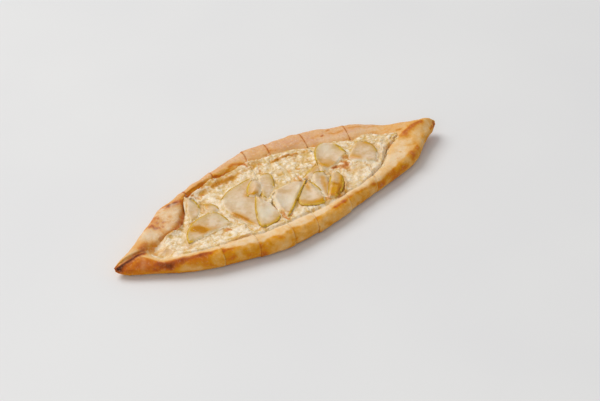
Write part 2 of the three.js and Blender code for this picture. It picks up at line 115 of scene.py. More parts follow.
# The knife cuts: where each crosses the middle line in mm, and how far it slants for each mm across.
CUTS = [
    (-79.2, 0.175),
    (-48.4, 0.167),
    (-14.9, 0.217),
    (8.5, 0.198),
    (43.7, 0.174),
    (80.9, 0.288),
]

# How far a crust slice springs back towards each of its cuts, in mm.
CLOSED_CUT = 0.31

# How far from a cut its edges are marked, in mm.
CUT_MARK = 0.9

# Half the size of the plans of heights, along the loaf and across it, in mm.
PLAN_HALF = (165, 61)

# The height that plumb lines come down from, and that of a place where they meet nothing, in mm.
PLAN_SKY = 100
BELOW = -100.0

# The least height that dough and topping have, in mm.
LOWEST_DOUGH = 3.0

# How uneven the edges of marks are: the shares of a larger and a smaller noise, or of one alone.
CRUST_WOBBLE = (0.35, 0.3)
CHEESE_WOBBLE = (0.6, 0.5)
PEAR_WOBBLE = 0.3

# Browned places: the points of a line in mm, its half width in mm and how strongly it is baked.
BROWNED = [
    ([(-161, -3, 9), (-160, -4, 9)], 3, 1),
    ([(-159, -3, 10), (-154, -3, 12), (-150, -3, 12), (-146, -3, 13), (-142, -3, 14)], 1.2, 0.88),
    ([(-142, -3, 14), (-138, -3, 13), (-135, -4, 13)], 1.2, 0.5),
    ([(-145, -11, 11), (-150, -9, 11), (-154, -8, 10)], 4, 0.36),
    ([(-139, -13, 13), (-139, -19, 10)], 4.5, 0.4),
    ([(-157, -3, 11), (-150, -3, 12), (-143, -3.4, 13), (-137, -3.8, 14)], 1.8, 0.8),
    ([(-150, -9, 10), (-146, -12, 9)], 4, 0.12),
    ([(-138, -21, 9), (-136, -22, 8)], 1.8, 0.45),
    ([(-134, -20, 13), (-131, -23, 12), (-128, -26, 12)], 2.9, 0.7),
    ([(-126, -27, 12), (-121, -27, 14), (-118, -29, 14)], 2.8, 0.7),
    ([(-133, -23, 10), (-127, -27, 10)], 1.8, 0.3),
    ([(-126, -28, 10), (-122, -30, 11)], 2.4, 0.25),
    ([(-116, -29, 15), (-113, -31, 15), (-107, -33, 16), (-103, -34, 16)], 1.5, 0.5),
    ([(-103, -34, 16), (-98, -36, 16), (-95, -37, 16)], 1.5, 0.45),
    ([(-95, -37, 16), (-89, -37, 17)], 1.3, 0.34),
    ([(-101, -38, 15), (-101, -41, 12)], 3, 0.28),
    ([(-98, -43, 9), (-95, -43, 6)], 2, 0.3),
    ([(-85, -39, 16), (-86, -43, 16)], 1.4, 0.48),
    ([(-85, -41, 16), (-81, -42, 17), (-76, -43, 17)], 1.3, 0.38),
    ([(-84, -47, 11), (-79, -48, 12)], 2.2, 0.3),
    ([(-70, -49, 14), (-68, -51, 10)], 2.6, 0.32),
    ([(-56, -55, 8), (-54, -55, 5)], 2, 0.45),
    ([(-39, -54, 16), (-37, -56, 16)], 1.6, 0.38),
    ([(-27, -59, 11)], 2, 0.4),
    ([(-27, -51, 17), (-20, -53, 16)], 1.2, 0.28),
    ([(4, -58, 10), (9, -57, 8)], 2, 0.28),
    ([(20, -49, 15), (26, -48, 15), (30, -48, 15)], 1.5, 0.58),
    ([(30, -48, 15), (36, -46, 15), (39, -46, 15)], 1.4, 0.48),
    ([(42, -45, 15), (51, -45, 15), (59, -44, 14), (66, -43, 14)], 1.6, 0.34),
    ([(43, -51, 7)], 2.4, 0.35),
    ([(71, -46, 9), (75, -45, 9)], 2.2, 0.45),
    ([(76, -44, 12), (83, -42, 13), (89, -41, 13)], 2.2, 0.25),
    ([(84, -44, 8), (94, -42, 8)], 2.6, 0.3),
    ([(101, -39, 12), (107, -38, 10)], 2.4, 0.35),
    ([(96, -41, 11), (104, -39, 9)], 2.2, 0.25),
    ([(116, -31, 15), (117, -34, 13), (115, -35, 12)], 2.4, 0.4),
    ([(128, -24, 17), (125, -29, 15)], 2.2, 0.3),
    ([(117, -21, 16), (121, -23, 16), (126, -24, 16)], 0.8, 0.3),
    ([(127, -8, 18), (131, -8, 20), (137, -7, 21), (142, -7, 22), (146, -8, 22)], 2.8, 0.66),
    ([(121, -9, 18), (126, -12, 18)], 3, 0.48),
    ([(159, -9, 15), (158, -11, 14)], 1.5, 0.8),
    ([(151, -15, 15), (155, -13, 15)], 1.1, 0.55),
    ([(125, 0, 16), (128, -2, 17)], 1.1, 0.5),
    ([(109, -25, 16)], 0.6, 0.75),
    ([(-137, 1, 16), (-131, 2, 16)], 2.6, 0.5),
    ([(-139, 0, 16), (-133, -1, 14)], 1.4, 0.35),
    ([(-119, 17, 17), (-116, 18, 17), (-116, 14, 16)], 1.6, 0.76),
    ([(-112, 14, 16), (-112, 12, 16)], 0.8, 0.6),
    ([(-109, 12, 16)], 1.2, 0.75),
    ([(-114, 13, 16)], 1.1, 0.75),
    ([(-111, 18, 17)], 1.1, 0.75),
    ([(-107, 16, 17)], 1, 0.7),
    ([(-108, 21, 17)], 0.9, 0.65),
    ([(-113, 10, 16)], 0.8, 0.55),
    ([(-110, 24, 17), (-108, 24, 17)], 2.2, 0.5),
    ([(-113, 22, 17)], 1.6, 0.35),
    ([(-105, 16, 17)], 0.9, 0.68),
    ([(-103, 14, 17), (-101, 14, 17)], 1, 0.4),
    ([(-100, 19, 17), (-97, 19, 17)], 1.2, 0.3),
    ([(-93, 30, 17), (-89, 30, 17), (-86, 31, 17)], 1.6, 0.9),
    ([(-101, 29, 18), (-95, 30, 17), (-84, 30, 16)], 2.8, 0.48),
    ([(-84, 32, 16), (-80, 31, 16)], 2.2, 0.48),
    ([(-83, 25, 16), (-83, 22, 14)], 1.1, 0.4),
    ([(-86, 22, 16), (-84, 19, 13)], 1.3, 0.42),
    ([(-70, 33, 15), (-67, 32, 14)], 1.2, 0.6),
    ([(-67, 30, 13), (-64, 28, 12)], 1.6, 0.58),
    ([(-62, 30, 12), (-60, 29, 13)], 1.1, 0.82),
    ([(-58, 36, 15), (-55, 36, 15)], 1.6, 0.52),
    ([(-55, 33, 14), (-50, 34, 14)], 1.4, 0.35),
    ([(-44, 40, 16), (-41, 36, 14)], 0.8, 0.6),
    ([(-41, 42, 15), (-36, 40, 16)], 1.5, 0.68),
    ([(-23, 44, 16), (-19, 45, 16), (-14, 43, 16), (-10, 41, 16)], 1.6, 0.58),
    ([(-10, 40, 16), (-10, 35, 14)], 1.4, 0.84),
    ([(-5, 42, 16), (-2, 39, 16), (2, 39, 16)], 1.4, 0.42),
    ([(-5, 36, 15), (-7, 32, 14)], 1.2, 0.38),
    ([(-1, 32, 14), (-4, 26, 14)], 1.2, 0.58),
    ([(2, 33, 14), (3, 31, 14)], 1.2, 0.5),
    ([(12, 39, 16), (16, 39, 16)], 1.4, 0.88),
    ([(17, 43, 16), (23, 40, 16)], 1.2, 0.48),
    ([(66, 32, 16), (67, 32, 16)], 1.1, 0.9),
    ([(57, 35, 16), (64, 34, 16)], 1.1, 0.38),
    ([(74, 31, 17), (79, 28, 16), (86, 28, 16)], 1.2, 0.48),
    ([(90, 29, 15), (95, 26, 17), (102, 23, 17)], 1.2, 0.48),
    ([(103, 20, 16), (112, 18, 15), (115, 16, 15), (115, 11, 15)], 0.9, 0.33),
    ([(74, 35, 16), (77, 36, 16)], 0.9, 0.66),
    ([(30, 37, 17), (38, 37, 16), (45, 36, 16), (52, 36, 16)], 0.9, 0.33),
]

# Pale places of the crust, where flour lies or the dough was folded away from the heat, and one painted
# highlight: a small glint on a dark blister.
PALE_AND_GLINT = [
    ([(-155, -1, 11), (-150, 0, 14), (-145, 0, 15), (-140, 0, 15), (-134, -1, 12)], 1.1, 0.35),
    ([(-140, -7, 14), (-142, -11, 12), (-145, -15, 10)], 1.8, 0.2),
    ([(-127, 10, 17), (-121, 10, 16), (-119, 6, 15)], 4.5, 0.95),
    ([(-103, 24, 17), (-95, 24, 17), (-89, 24, 16)], 4, 0.85),
    ([(-107, 11, 16), (-100, 13, 16), (-94, 17, 16)], 3, 0.65),
    ([(-83, 18, 12), (-89, 11, 12), (-96, 5, 12), (-104, 1, 12)], 2.6, 0.75),
    ([(-128, -13, 13), (-126, -17, 12)], 3, 0.85),
    ([(-120, -23, 14), (-115, -26, 16)], 1.6, 0.8),
    ([(-112, -27, 16), (-102, -27, 14), (-95, -30, 15)], 1.8, 0.8),
    ([(-87, -32, 16), (-80, -37, 17), (-68, -39, 17), (-60, -45, 17)], 2.2, 0.35),
    ([(-47, -39, 16), (-40, -43, 16), (-22, -43, 15)], 2.6, 0.6),
    ([(-17, -43, 15), (-2, -44, 14), (11, -43, 14)], 3, 0.75),
    ([(15, -42, 15), (29, -42, 15), (43, -40, 15), (58, -40, 15)], 2.4, 0.7),
    ([(86, -31, 15), (102, -25, 16), (113, -25, 16)], 4, 0.3),
    ([(-117, -34, 9), (-107, -39, 7)], 2.6, 0.25),
    # Painted highlight: a small glint on the dark blister of the far rim at the left.
    ([(-90, 32, 17)], 0.5, 0.9),
    ([(-16, 50, 16), (-10, 50, 17), (-2, 50, 17)], 2.4, 0.5),
    ([(-2, 37, 14), (14, 37, 14), (30, 35, 14), (50, 30, 14)], 2.2, 0.5),
    ([(62, 28, 15), (80, 23, 15), (100, 18, 15), (114, 13, 15)], 2.6, 0.5),
]

# Where the pale top of the near rim breaks into its golden wall, in plan.
NEAR_RIDGE = [
    (-165, -1), (-153, -4), (-140, -6), (-133, -16), (-130, -22), (-120, -25), (-106, -31),
    (-92, -36), (-86, -37), (-80, -42), (-63, -46), (-54, -50), (-46, -49), (-38, -53), (-28, -52),
    (-7, -52), (4, -50), (26, -48), (51, -44.5), (72, -43), (85, -40), (101, -34), (111, -31),
    (120, -29), (135, -21), (152, -13),
]

# How far that ridge wanders, over what width the wall begins at it, and how wide its crest is, in mm.
RIDGE_WANDER = 1.2
RIDGE_WIDTH = (-0.8, 1.2)
CREST_WIDTH = 4

# The share of the ridge that the right tip has lost.
RIDGE_LOST = 0.5

# The inner side of the far rim, which the heat of the oven toasts most, in plan.
FAR_LIP = [
    (-84, 26), (-76, 31), (-62, 36), (-48, 39), (-32, 41), (-14, 41), (8, 39), (26, 36), (40, 31),
    (56, 24), (78, 17), (100, 13),
]

# How far that lip wanders with lumps and with streaks, and how wide it is, in mm.
LIP_WANDER = (2, 1.5)
LIP_WIDTH = 7

# The streaks of the lip are longer along the loaf than across it.
STREAK_SHAPE = (0.3, 1, 1)

# Parts of the loaf: the two places between which each begins or ends, in mm.
NEAR_SIDE = (6, -6)
LEFT_PART = (-30, -110)
LEFT_TIP = (-118, -136)
RIGHT_HALF = (-24, 4)
RIGHT_TIP = (100, 135)
FLAP_START = (-135, -124)
FLAP_END = (-78, -92)
LIP_START = (-92, -76)

# The underside, the outer wall and the inner side of the rim: the two heights in mm, or the two shares
# of facing up or outward, between which each begins.
UNDER_FACING = (-0.3, -0.8)
UNDER_HEIGHT = (4, 1)
WALL_FACING = (0.62, 0.27)
WALL_OUTWARD = (-0.1, 0.2)
INNER_FACING = (0.85, 0.5)
INNER_OUTWARD = (0, -0.3)

# How much of facing a tip counts as facing outward.
TIPWARD_SHARE = 0.5


class Bake:
    """How far each part of the crust is browned, from 0 to 1, and how dark the painted shade along the
    knife cuts is.
    """

    ALL = 0.1
    UNDERSIDE = 0.3
    WALL = 0.25
    LEFT_WALL = 0.1
    LEFT_TIP = 0.08
    RIGHT_TIP = 0.07
    CREST = 0.16
    NEAR_TOP = 0.14
    FAR_TOP = 0.14
    LEFT_FAR_TOP = 0.06
    INNER_SIDE = 0.2
    PALER_INNER_SIDE = 0.14
    FLAP = 0.1
    SPOTS = 0.08
    FLAP_SPOTS = 0.3
    BROAD_CLOUDS = 0.15
    SMALL_CLOUDS = 0.13
    LIP = 0.14
    PALER_LIP = 0.12
    LIP_STREAKS = 0.38
    PALER_LIP_STREAKS = 0.2
    # Painted shade along the knife cuts: dark lines at both edges of a cut at the back and at one edge
    # at the front, where the narrow gap lies in shadow.
    FAR_CUT_SHADE = 0.75
    NEAR_CUT_SHADE = 0.25
    OILED = 0.4

    # The share of it that pale marks take away, and that a cut takes at the near side.
    PALE_LOSS = 0.85
    CUT_LOSS = 0.5

    # The two levels of noise between which each kind of patch begins.
    CREST_PATCHES = (-0.4, 0.4)
    NEAR_PATCHES = (-0.3, 0.5)
    FLAP_PATCHES = (-0.5, 0.4)
    SPOT_PATCHES = (0.3, 0.85)
    LIP_PATCHES = (-0.15, 0.45)

    # The share of the clouds that shows away from the wall, and how much fine noise is in the spots.
    CLOUDS_ON_TOP = 0.3
    FINE_SPOTS = 0.5


class Flour:
    """How much flour lies on each part of the crust, from 0 to 1."""

    NEAR_TOP = 0.32
    LESS_AT_RIGHT_TIP = 0.2
    # The pale marks count as flour, the painted glint among them.
    PALE_MARKS = 0.7
    FLAP = 0.55
    UNDERSIDE = 0.15

    # The two levels of noise between which the patches of the flap begin, and how much fine noise is
    # in them.
    FLAP_PATCHES = (0, 0.5)
    FINE_PATCHES = 0.4


class Blush:
    """How much of each part of the crust has hardly coloured, from 0 to 1."""

    FAR_TOP = 0.8
    CLOUDS = 0.3
    LESS_AT_LEFT = 0.45

    # The share of it that the toasted lip keeps on the right half.
    LIP_AT_RIGHT = 0.5


# The colours that browning goes through, and how far it has gone at each, on the crust and on what
# lies in it.
CRUST_TONES = [
    (0.0, "pale"),
    (0.2, "gold"),
    (0.36, "tan"),
    (0.5, "amber"),
    (0.64, "orange"),
    (0.8, "brown"),
    (0.93, "dark"),
    (1.0, "burnt"),
]
TOAST_TONES = [(0.0, "golden"), (0.4, "toasted"), (0.75, "browned"), (1.0, "charred")]

# How high the smaller of two sizes of lumps is beside the larger.
SMALLER_LUMPS = 0.6

# The share of all relief that the underside loses.
SMOOTH_UNDERSIDE = 0.85

# Blisters of the crust: the middle, the radius and the height, in mm.
BLISTERS = [
    ((-134.5, 2, 16), 5.5, 0.9),
    ((-90, 29.5, 17), 3.4, 1.0),
    ((-110, 23, 17.5), 4.5, 0.7),
    ((-118, 16, 16.5), 3.0, 0.6),
    ((116, -32, 15), 4.5, 0.6),
    ((27, 50, 15), 4.0, 0.9),
    ((50, 44, 15), 4.0, 0.8),
]
BLISTER_STEEPNESS = 1.6
BLISTER_WOBBLE = 0.2

# The small blisters that are scattered over the walls, and their least and greatest radius in mm.
SMALL_BLISTERS = 150
SMALL_BLISTER_SEED = 100
SMALL_BLISTER_SIZES = (0.8, 2.2)

# How high a small blister is for each mm of its radius, and how steep.
SMALL_BLISTER_RISE = 0.22
SMALL_BLISTER_STEEPNESS = 1.5

# Small blisters sit higher than this on a wall, in mm.
SMALL_BLISTERS_ABOVE = 3

# Shallow knife marks and folds of the crust: the points of a line, its half width and depth, in mm.
CREASES = [
    ([(8, 46, 18), (8, 41, 18), (6, 37, 17)], 0.5, 0.6),
    ([(13, -44, 17), (15, -49, 15), (15, -51, 12)], 0.5, 0.6),
    ([(-140, -6, 15), (-143, -13, 13), (-144, -17, 10)], 0.9, 0.8),
    ([(107, -14, 17), (117, -14, 18), (127, -16, 18)], 1.2, 0.8),
]

# Browned places of the topping, in plan.
TOASTED = [
    ([(62, -3), (65, -4), (68, -8), (74, -13)], 1.8, 0.6),
    ([(54, -13), (59, -15), (62, -12)], 2.4, 0.5),
    ([(59, -7), (61, -10)], 1.8, 0.62),
    ([(51, -9), (56, -11), (60, -12)], 2.2, 0.62),
    ([(47, -9), (51, -9)], 1.3, 0.95),
    ([(85, -21), (84, -23)], 1.3, 0.5),
    ([(-67, -19), (-65, -21)], 1.6, 0.72),
    ([(-58, -13)], 1.5, 0.35),
    ([(-21, -19), (-21, -23)], 1.6, 0.55),
    ([(-5, -13)], 2.2, 0.28),
    ([(-20, -29), (-21, -35)], 1.8, 0.62),
    ([(-22, -37), (-20, -40)], 0.9, 0.8),
    ([(-16, -33), (-15, -34)], 1.1, 0.75),
    ([(-16, -37), (-14, -36)], 0.7, 0.65),
    ([(17, 12), (16, 9)], 1.2, 0.45),
    ([(23, 9), (25, 8)], 1.4, 0.45),
    ([(14, 0), (11, -7), (13, -9), (16, -10)], 0.8, 0.55),
    ([(18, 1), (16, -9)], 1, 0.5),
    ([(31, -15), (29, -18), (27, -22)], 0.8, 0.75),
    ([(34, -21), (29, -29), (24, -34)], 0.8, 0.75),
    ([(24, -36), (27, -39), (30, -40)], 1.8, 0.7),
    ([(36, -35), (41, -33)], 1.5, 0.6),
    ([(20, -37), (22, -39)], 1.5, 0.62),
    ([(-1, -25), (2, -32), (8, -35)], 1.3, 0.2),
    ([(-51, -18), (-50, -22)], 2, 0.45),
    ([(-55, -6), (-56, -9)], 0.8, 0.55),
    ([(-129, -4), (-129, -7)], 1.3, 0.5),
    ([(-133, -8)], 1, 0.4),
]

# Places of the topping that honey and oil have turned golden, in plan.
GOLDEN = [
    ([(-93, 11), (-98, 6), (-102, 5)], 1.3, 0.8),
    ([(-106, 4), (-111, 5), (-116, 4)], 1.5, 0.9),
    ([(-118, 3), (-125, 1), (-130, -2)], 2.2, 0.6),
    ([(-104, -16), (-101, -19)], 3, 0.4),
    ([(-47, 33), (-42, 33), (-37, 33), (-30, 33)], 2.6, 1),
    ([(-29, 33), (-24, 33), (-21, 34)], 1.8, 0.85),
    ([(11, 30), (17, 30), (25, 29), (35, 26)], 1.3, 0.9),
    ([(39, 25), (44, 24)], 1.1, 0.8),
    ([(-89, -5), (-86, -6), (-84, -10)], 4, 1),
    ([(-83, -11), (-72, -15), (-67, -19)], 1.6, 0.4),
    ([(-54, -9), (-51, -14), (-49, -19), (-48, -27)], 2.4, 0.75),
    ([(-56, -10), (-53, -14)], 1.6, 0.6),
    ([(-32, 4), (-29, 1), (-24, 0)], 2.4, 0.75),
    ([(-26, 6)], 4, 0.35),
    ([(-45, -36), (-38, -38), (-28, -35)], 1.7, 0.5),
    ([(-1, -27), (6, -33), (13, -37)], 1.7, 0.5),
    ([(34, -29), (38, -32)], 2.6, 0.7),
    ([(27, -36), (32, -40)], 2.4, 0.75),
    ([(41, 0), (45, -6)], 2.6, 0.6),
    ([(46, 4), (52, -6)], 2.2, 0.4),
    ([(-66, 15), (-70, 12)], 4, 0.6),
    ([(-8, 40), (-5, 35)], 2, 0.6),
    ([(58, -19), (64, -23)], 3, 0.35),
    ([(30, -33), (36, -37), (42, -31), (46, -24)], 3.6, 0.75),
    ([(16, -38), (24, -39), (30, -37)], 1.8, 0.8),
    ([(32, -16), (28, -24), (24, -32)], 1.6, 0.6),
    ([(43, -12), (40, -18)], 2, 0.5),
    ([(-2, -31), (7, -36), (16, -39)], 1.5, 0.6),
    ([(22, -6), (17, -12), (14, -20)], 1.8, 0.6),
    ([(30, -4), (38, 1)], 2, 0.5),
    ([(39, -5), (46, -2), (49, -6)], 2.6, 0.4),
    ([(80, 3), (90, 0), (94, -8)], 3, 0.4),
    ([(-102, 5), (-93, 12), (-85, 20), (-80, 24)], 1.8, 0.7),
    ([(-62, 30), (-55, 32)], 2, 0.7),
    ([(-20, 34), (-3, 34)], 1.4, 0.5),
    ([(14, -6), (12, -3)], 2, 0.5),
    ([(65, -4), (70, -7), (74, -12)], 2.2, 0.6),
    ([(90, 0), (92, -3)], 1.4, 0.6),
    ([(-28, 15), (-13, 25)], 1.6, 0.3),
    ([(-71, -33), (-66, -35), (-57, -37)], 1.2, 0.5),
    ([(-69, -40), (-64, -42)], 1, 0.5),
    ([(-127, 0), (-124, -7), (-118, -13)], 3, 0.35),
    ([(100, -13), (110, -11), (115, -7)], 1.4, 0.45),
    ([(93, -18), (99, -20)], 2, 0.35),
    ([(-6, 23), (-2, 18)], 1.2, 0.8),
    ([(32, 16), (35, 13)], 1.5, 0.4),
    ([(29, 23), (29, 18)], 1.3, 0.4),
    ([(43, -34), (45, -37)], 1.6, 0.5),
    ([(-20, -31)], 2.6, 0.5),
    ([(75, -18), (74, -28), (69, -39)], 0.8, 0.35),
]

# Places of the cheese that stay pale, in plan.
PALE_CURDS = [
    ([(62, -28), (80, -20), (98, -10)], 9, 0.8),
    ([(-122, -8), (-106, -14), (-92, -20)], 8, 0.5),
    ([(-20, 26), (4, 24), (24, 20)], 7, 0.5),
]

# How strongly marks brown the cheese.
CHEESE_TOASTED = 0.8

# The share of its clear places that pale curds fill.
FEWER_VALLEYS = 0.7

# Oil at the border of the cheese: how golden it is, and how far in it fades, in mm.
FRINGE_OIL = 0.2
FRINGE_WIDTH = 2.0

# The two shares of facing up, of facing up or down and of facing back between which the top, the
# sides and the back of the cheese begin.
TOP_FACING = (0.2, 0.7)
SIDE_FACING = (0.9, 0.5)
BACK_FACING = (0.2, 0.8)

# What faces up or down less than this is the edge of the cheese.
EDGE_FACING = 0.6

# What faces up less than this is its underside.
UNDERSIDE_FACING = -0.2

# How much lumps of four sizes, grains and crumbs each count in the relief of the cheese.
CURD_SHARES = (0.6, 0.8, 0.45, 0.25)
GRAIN_SHARE = 0.4
CRUMB_SHARE = 1.2

# How steeply grains and crumbs rise, and how far up they neither raise nor lower the cheese.
GRAIN_STEEPNESS = 2.2
GRAIN_LEVEL = 0.6

# The two places between which crumbs begin, along the loaf and across it, in mm.
CRUMBLED_ALONG = (-40, 10)
CRUMBLED_ACROSS = (-30, 0)

# The two levels of noise between which patches with grains or oil begin.
GRAIN_PATCHES = (-0.3, 0.3)

# The two levels of relief between which a curd goes over into the valley beside it; the valleys are
# coloured as clear whey and as painted shade.
VALLEY_LEVELS = (0.35, -0.45)

# How deep the cheese sinks at a knife cut, in mm, and the two levels of noise between which it does.
SEAM_DEPTH = 0.3
SEAM_PATCHES = (0.05, 0.5)

# How the cheese clings to the pear slices over it: the gap below them, how it falls away from them
# for each mm, how far that goes and the highest step that it takes, in mm.
CLING_GAP = 0.15
CLING_SLOPE = 0.7
CLING_REACH = 3
HIGHEST_LIFT = 2.2

# How far the cheese has run out over the dough at its outer edge, in mm.
EDGE_SPREAD = 1.6

# How much further it has run at the back, and where along the loaf that begins and ends, in mm.
FAR_SPREAD = 2.0
FAR_SPREAD_START = (-30, -5)
FAR_SPREAD_END = (88, 70)

# How deep in the dough that edge ends, in mm.
EDGE_SINK = 0.3

# How the cheese rises from its edge for each mm, and what the front adds to that.
EDGE_SLOPE = 0.5
NEAR_EDGE_SLOPE = 0.6

# How uneven the edge is with a larger and a smaller noise, in mm.
EDGE_UNEVEN = (1.2, 0.48)

# How wide a strip of dough the edge leaves bare at the back, in mm.
EDGE_BARE = 1.2

# The two distances from the edge between which the cheese begins to be brought down, in mm.
EDGE_REACH = (12.0, 8.4)

# Where the edge is as at the back: from here on across the loaf, from here on to its left tip, and
# not from here on to its right tip, in mm.
FAR_EDGE = (-5, 10)
LEFT_EDGE = (-100, -118)
RIGHT_EDGE = (105, 85)

# The share of their height that curds lose at such an edge, and over what distances from it, in mm.
FLATTER_EDGE = 0.8
FLATTER_WIDTH = (4, 0.5)

# How far out the rim holds the cheese beside it up, how much less for each mm, and where this begins
# at the left tip, in mm.
BRIM_REACH = 14
BRIM_SLOPE = 0.25
BRIM_START = (-122, -112)

# How far in the rim begins to hold the cheese, in widths of the bare strip, and how far in it holds it
# wholly, in such widths and a margin in mm.
HELD_FROM = 0.6
HELD_WHOLLY = 2
HELD_MARGIN = 0.8

# Further than this from the middle of the loaf, in mm, a flat face of the cheese is no cut but its end.
CHEESE_HALF_LENGTH = 110

# Painted highlights on the pear slices: pale patches where the flesh catches the light, in plan.
PEAR_HIGHLIGHTS = [
    ([(-58, 0), (-64, -11)], 2.6, 0.8),
    ([(-35, -19), (-36, -26), (-28, -22)], 4, 0.95),
    ([(-14, -17), (-8, -23), (-20, -14)], 5, 0.6),
    ([(-3, -19), (-11, -24)], 3.4, 0.35),
    ([(56, 21), (58, 12)], 5, 0.6),
    ([(88, 8), (84, 4)], 3, 0.3),
    ([(8, -14), (4, -24)], 4, 0.45),
    ([(22, -20), (20, -28)], 3, 0.5),
    ([(36, -8), (34, -14)], 2.4, 0.5),
    ([(-48, 8), (-42, -2)], 5, 0.4),
    ([(-79, 22), (-73, 22)], 3, 0.3),
]

# The skin that is left on each pear slice, as arcs about the slice's middle in degrees from +X.
PEAR_SKIN = {
    1: [(-50, 112)],
    2: [(58, 128)],
    3: [(-34, 46)],
    4: [(-18, 210)],
    5: [(-46, 76), (208, 236)],
    6: [(62, 212)],
    7: [(74, 307)],
    8: [(28, 188)],
    9: [(50, 90)],
    10: [(-16, 52), (62, 296)],
    11: [(-138, 28)],
    12: [(-28, 80)],
    13: [(64, 204), (-26, 33)],
    14: [(60, 219), (-120, 42)],
}

# How soft the ends of the skin are along the rim, in degrees to both sides.
ARC_SOFTNESS = 6

# How soft the inner border of the skin is, in mm to both sides, and how uneven its width.
SKIN_SOFTNESS = 0.3
SKIN_UNEVEN = 0.35

# How far in the flesh has taken on the colour of the skin, in mm.
SKIN_TINGE = 2.6

# How much thinner a slice is at its rim, how much of that the skin keeps, and from how far in, in mm.
TAPER = 1.0
SKIN_THICKER = 0.5
TAPER_WIDTH = 3.0

# How far in a slice turns clear at a rim without skin, and how deep such a rim has sunk, in mm.
FADE_WIDTH = 4.5
EDGE_MELTED = 0.7

# What faces up or down less than this is the rim of a slice.
RIM_FACING = 0.75

# The two shares of facing up between which the side begins that a slice thins from.
UPPER_FACING = (-0.3, 0.5)

# How much two sizes of waves count in the relief of a slice, and the seed of the larger ones.
WAVE_SHARES = (1, 0.7)
WAVE_SEED = 14

# How slices droop: the gap that stays under them, how far down and from how far in, in mm.
DROOP_GAP = 0.1
DEEPEST_DROOP = 2.5
DROOP_WIDTH = 6.0

# How far past its border the underside of a slice is carried on, in mm.
UNDERSIDE_REACH = 2

# Honey that has run together, in plan: the points of a line, its half width and its depth in mm.
PUDDLES = [
    ([(-89, -5), (-86, -6), (-84, -11)], 4.2, 0.45),
    ([(-47, 33), (-42, 33), (-37, 33), (-28, 33)], 2.9, 0.45),
    ([(12, 30), (17, 30), (25, 29), (35, 26)], 1.6, 0.35),
    ([(-103, 5), (-111, 5), (-118, 3)], 1.8, 0.35),
    ([(-54, -10), (-51, -15), (-49, -20)], 2.4, 0.35),
    ([(35, -29), (38, -33), (30, -39)], 2.4, 0.35),
]

# The step of a puddle's mesh in mm, and how far that goes round its line in half widths.
PUDDLE_STEP = 0.5
PUDDLE_MARGIN = 1.6

# How far a puddle stands up from what it lies on, and how thick it is at its border, in mm.
PUDDLE_RISE = 0.05
PUDDLE_THICKNESS = 0.3

# How uneven the border of a puddle is.
PUDDLE_WOBBLE = 0.6

# How full a puddle is, with 1 at its middle and 0 at its border: the least that counts, and where its
# mesh ends.
PUDDLE_RIM = -0.3
PUDDLE_END = -0.25


def sharing(value, start, end):
    """How far a value has gone from a start to an end, from 0 to 1 with soft ends."""
    share = np.clip((value - start) / (end - start), 0, 1)
    return share * share * (3 - 2 * share)


def beside(distance, width):
    """How close a distance is to nothing, from 1 there to 0 at the given width."""
    return sharing(distance, width, 0)


def added(shares, noises):
    """Several noises added up, each with its own share."""
    return sum(share * noise for share, noise in zip(shares, noises))


def rough(points, size, seed):
    """Seeded noise at each point, about -1 to 1, with lumps of the given size in mm."""
    places = points / size + seed * SEED_STEP
    return np.array([noise.noise(place) for place in places.tolist()])


def crumbly(points, size, seed):
    """Seeded rounded grains at each point, 0 between them and 1 on top, of the given size in mm."""
    places = points / size + seed * SEED_STEP
    gaps = [noise.voronoi(place)[0] for place in places.tolist()]
    return np.array([min(1.0, GRAIN_STEEPNESS * (gap[1] - gap[0])) for gap in gaps])


def distance_to(points, line):
    """How far each point is from the line through the given points."""
    line = np.array(line, float)
    nearest = np.linalg.norm(points - line[0], axis=1)
    for a, b in zip(line, line[1:]):
        run = b - a
        along = np.clip((points - a) @ run / (run @ run), 0, 1)
        nearest = np.minimum(nearest, np.linalg.norm(points - a - along[:, None] * run, axis=1))
    return nearest


def marked(points, marks, wobble):
    """How strongly a list of marks shows at each point, from 0 to 1, with uneven edges.

    A mark is the points of a line in mm, its half width in mm and its strength from 0 to 1."""
    clear = np.ones(len(points))
    for line, width, strength in marks:
        reach = distance_to(points, line) / (MARK_SPREAD * width) * wobble
        clear *= 1 - strength * np.exp(-reach * reach)
    return 1 - clear


class Surface:
    """The points of a piece's mesh in mm and the way that each faces.

    The flat faces of knife cuts are kept apart, so that relief leaves them flat."""

    # What faces along the loaf more than this is the flat face of a cut.
    CUT_FACING = 0.93

    def __init__(self, piece, has_cuts=False):
        self.mesh = piece.data
        self.points = self.read(self.mesh.vertices, "co", 3).astype(float) / MM
        facing = self.read(self.mesh.polygons, "normal", 3)
        area = self.read(self.mesh.polygons, "area", 1)
        cut = (abs(facing[:, 0]) > self.CUT_FACING) & has_cuts
        self.normals = self.mean_facing(facing * (area * ~cut)[:, None])
        self.cut_normals = self.mean_facing(facing * (area * cut)[:, None])

    def mean_facing(self, weighted):
        """The mean way that the faces round each point face, or nothing where none count."""
        corners = self.read(self.mesh.loops, "vertex_index", 1, np.int32)
        sizes = self.read(self.mesh.polygons, "loop_total", 1, np.int32)
        facing = np.zeros((len(self.points), 3))
        np.add.at(facing, corners, np.repeat(weighted, sizes, axis=0))
        return facing / np.maximum(np.linalg.norm(facing, axis=1), TINY)[:, None]

    @staticmethod
    def read(items, name, width, kind=np.float32):
        """One value of each item, a number or a vector of the given width."""
        values = np.empty(len(items) * width, kind)
        items.foreach_get(name, values)
        return values.reshape(-1, width) if width > 1 else values

    def move(self, offsets):
        """Moves each point by its own offset in mm, never below the floor."""
        self.points = self.points + offsets
        self.points[:, 2] = np.maximum(self.points[:, 2], FLOOR_HEIGHT)
        self.mesh.vertices.foreach_set("co", (self.points * MM).astype(np.float32).ravel())
        self.mesh.update()

    def keep(self, name, values):
        """Keeps a number for each point, which a finish reads by its name."""
        attribute = self.mesh.attributes.new(name, "FLOAT", "POINT")
        attribute.data.foreach_set("value", np.asarray(values, np.float32))


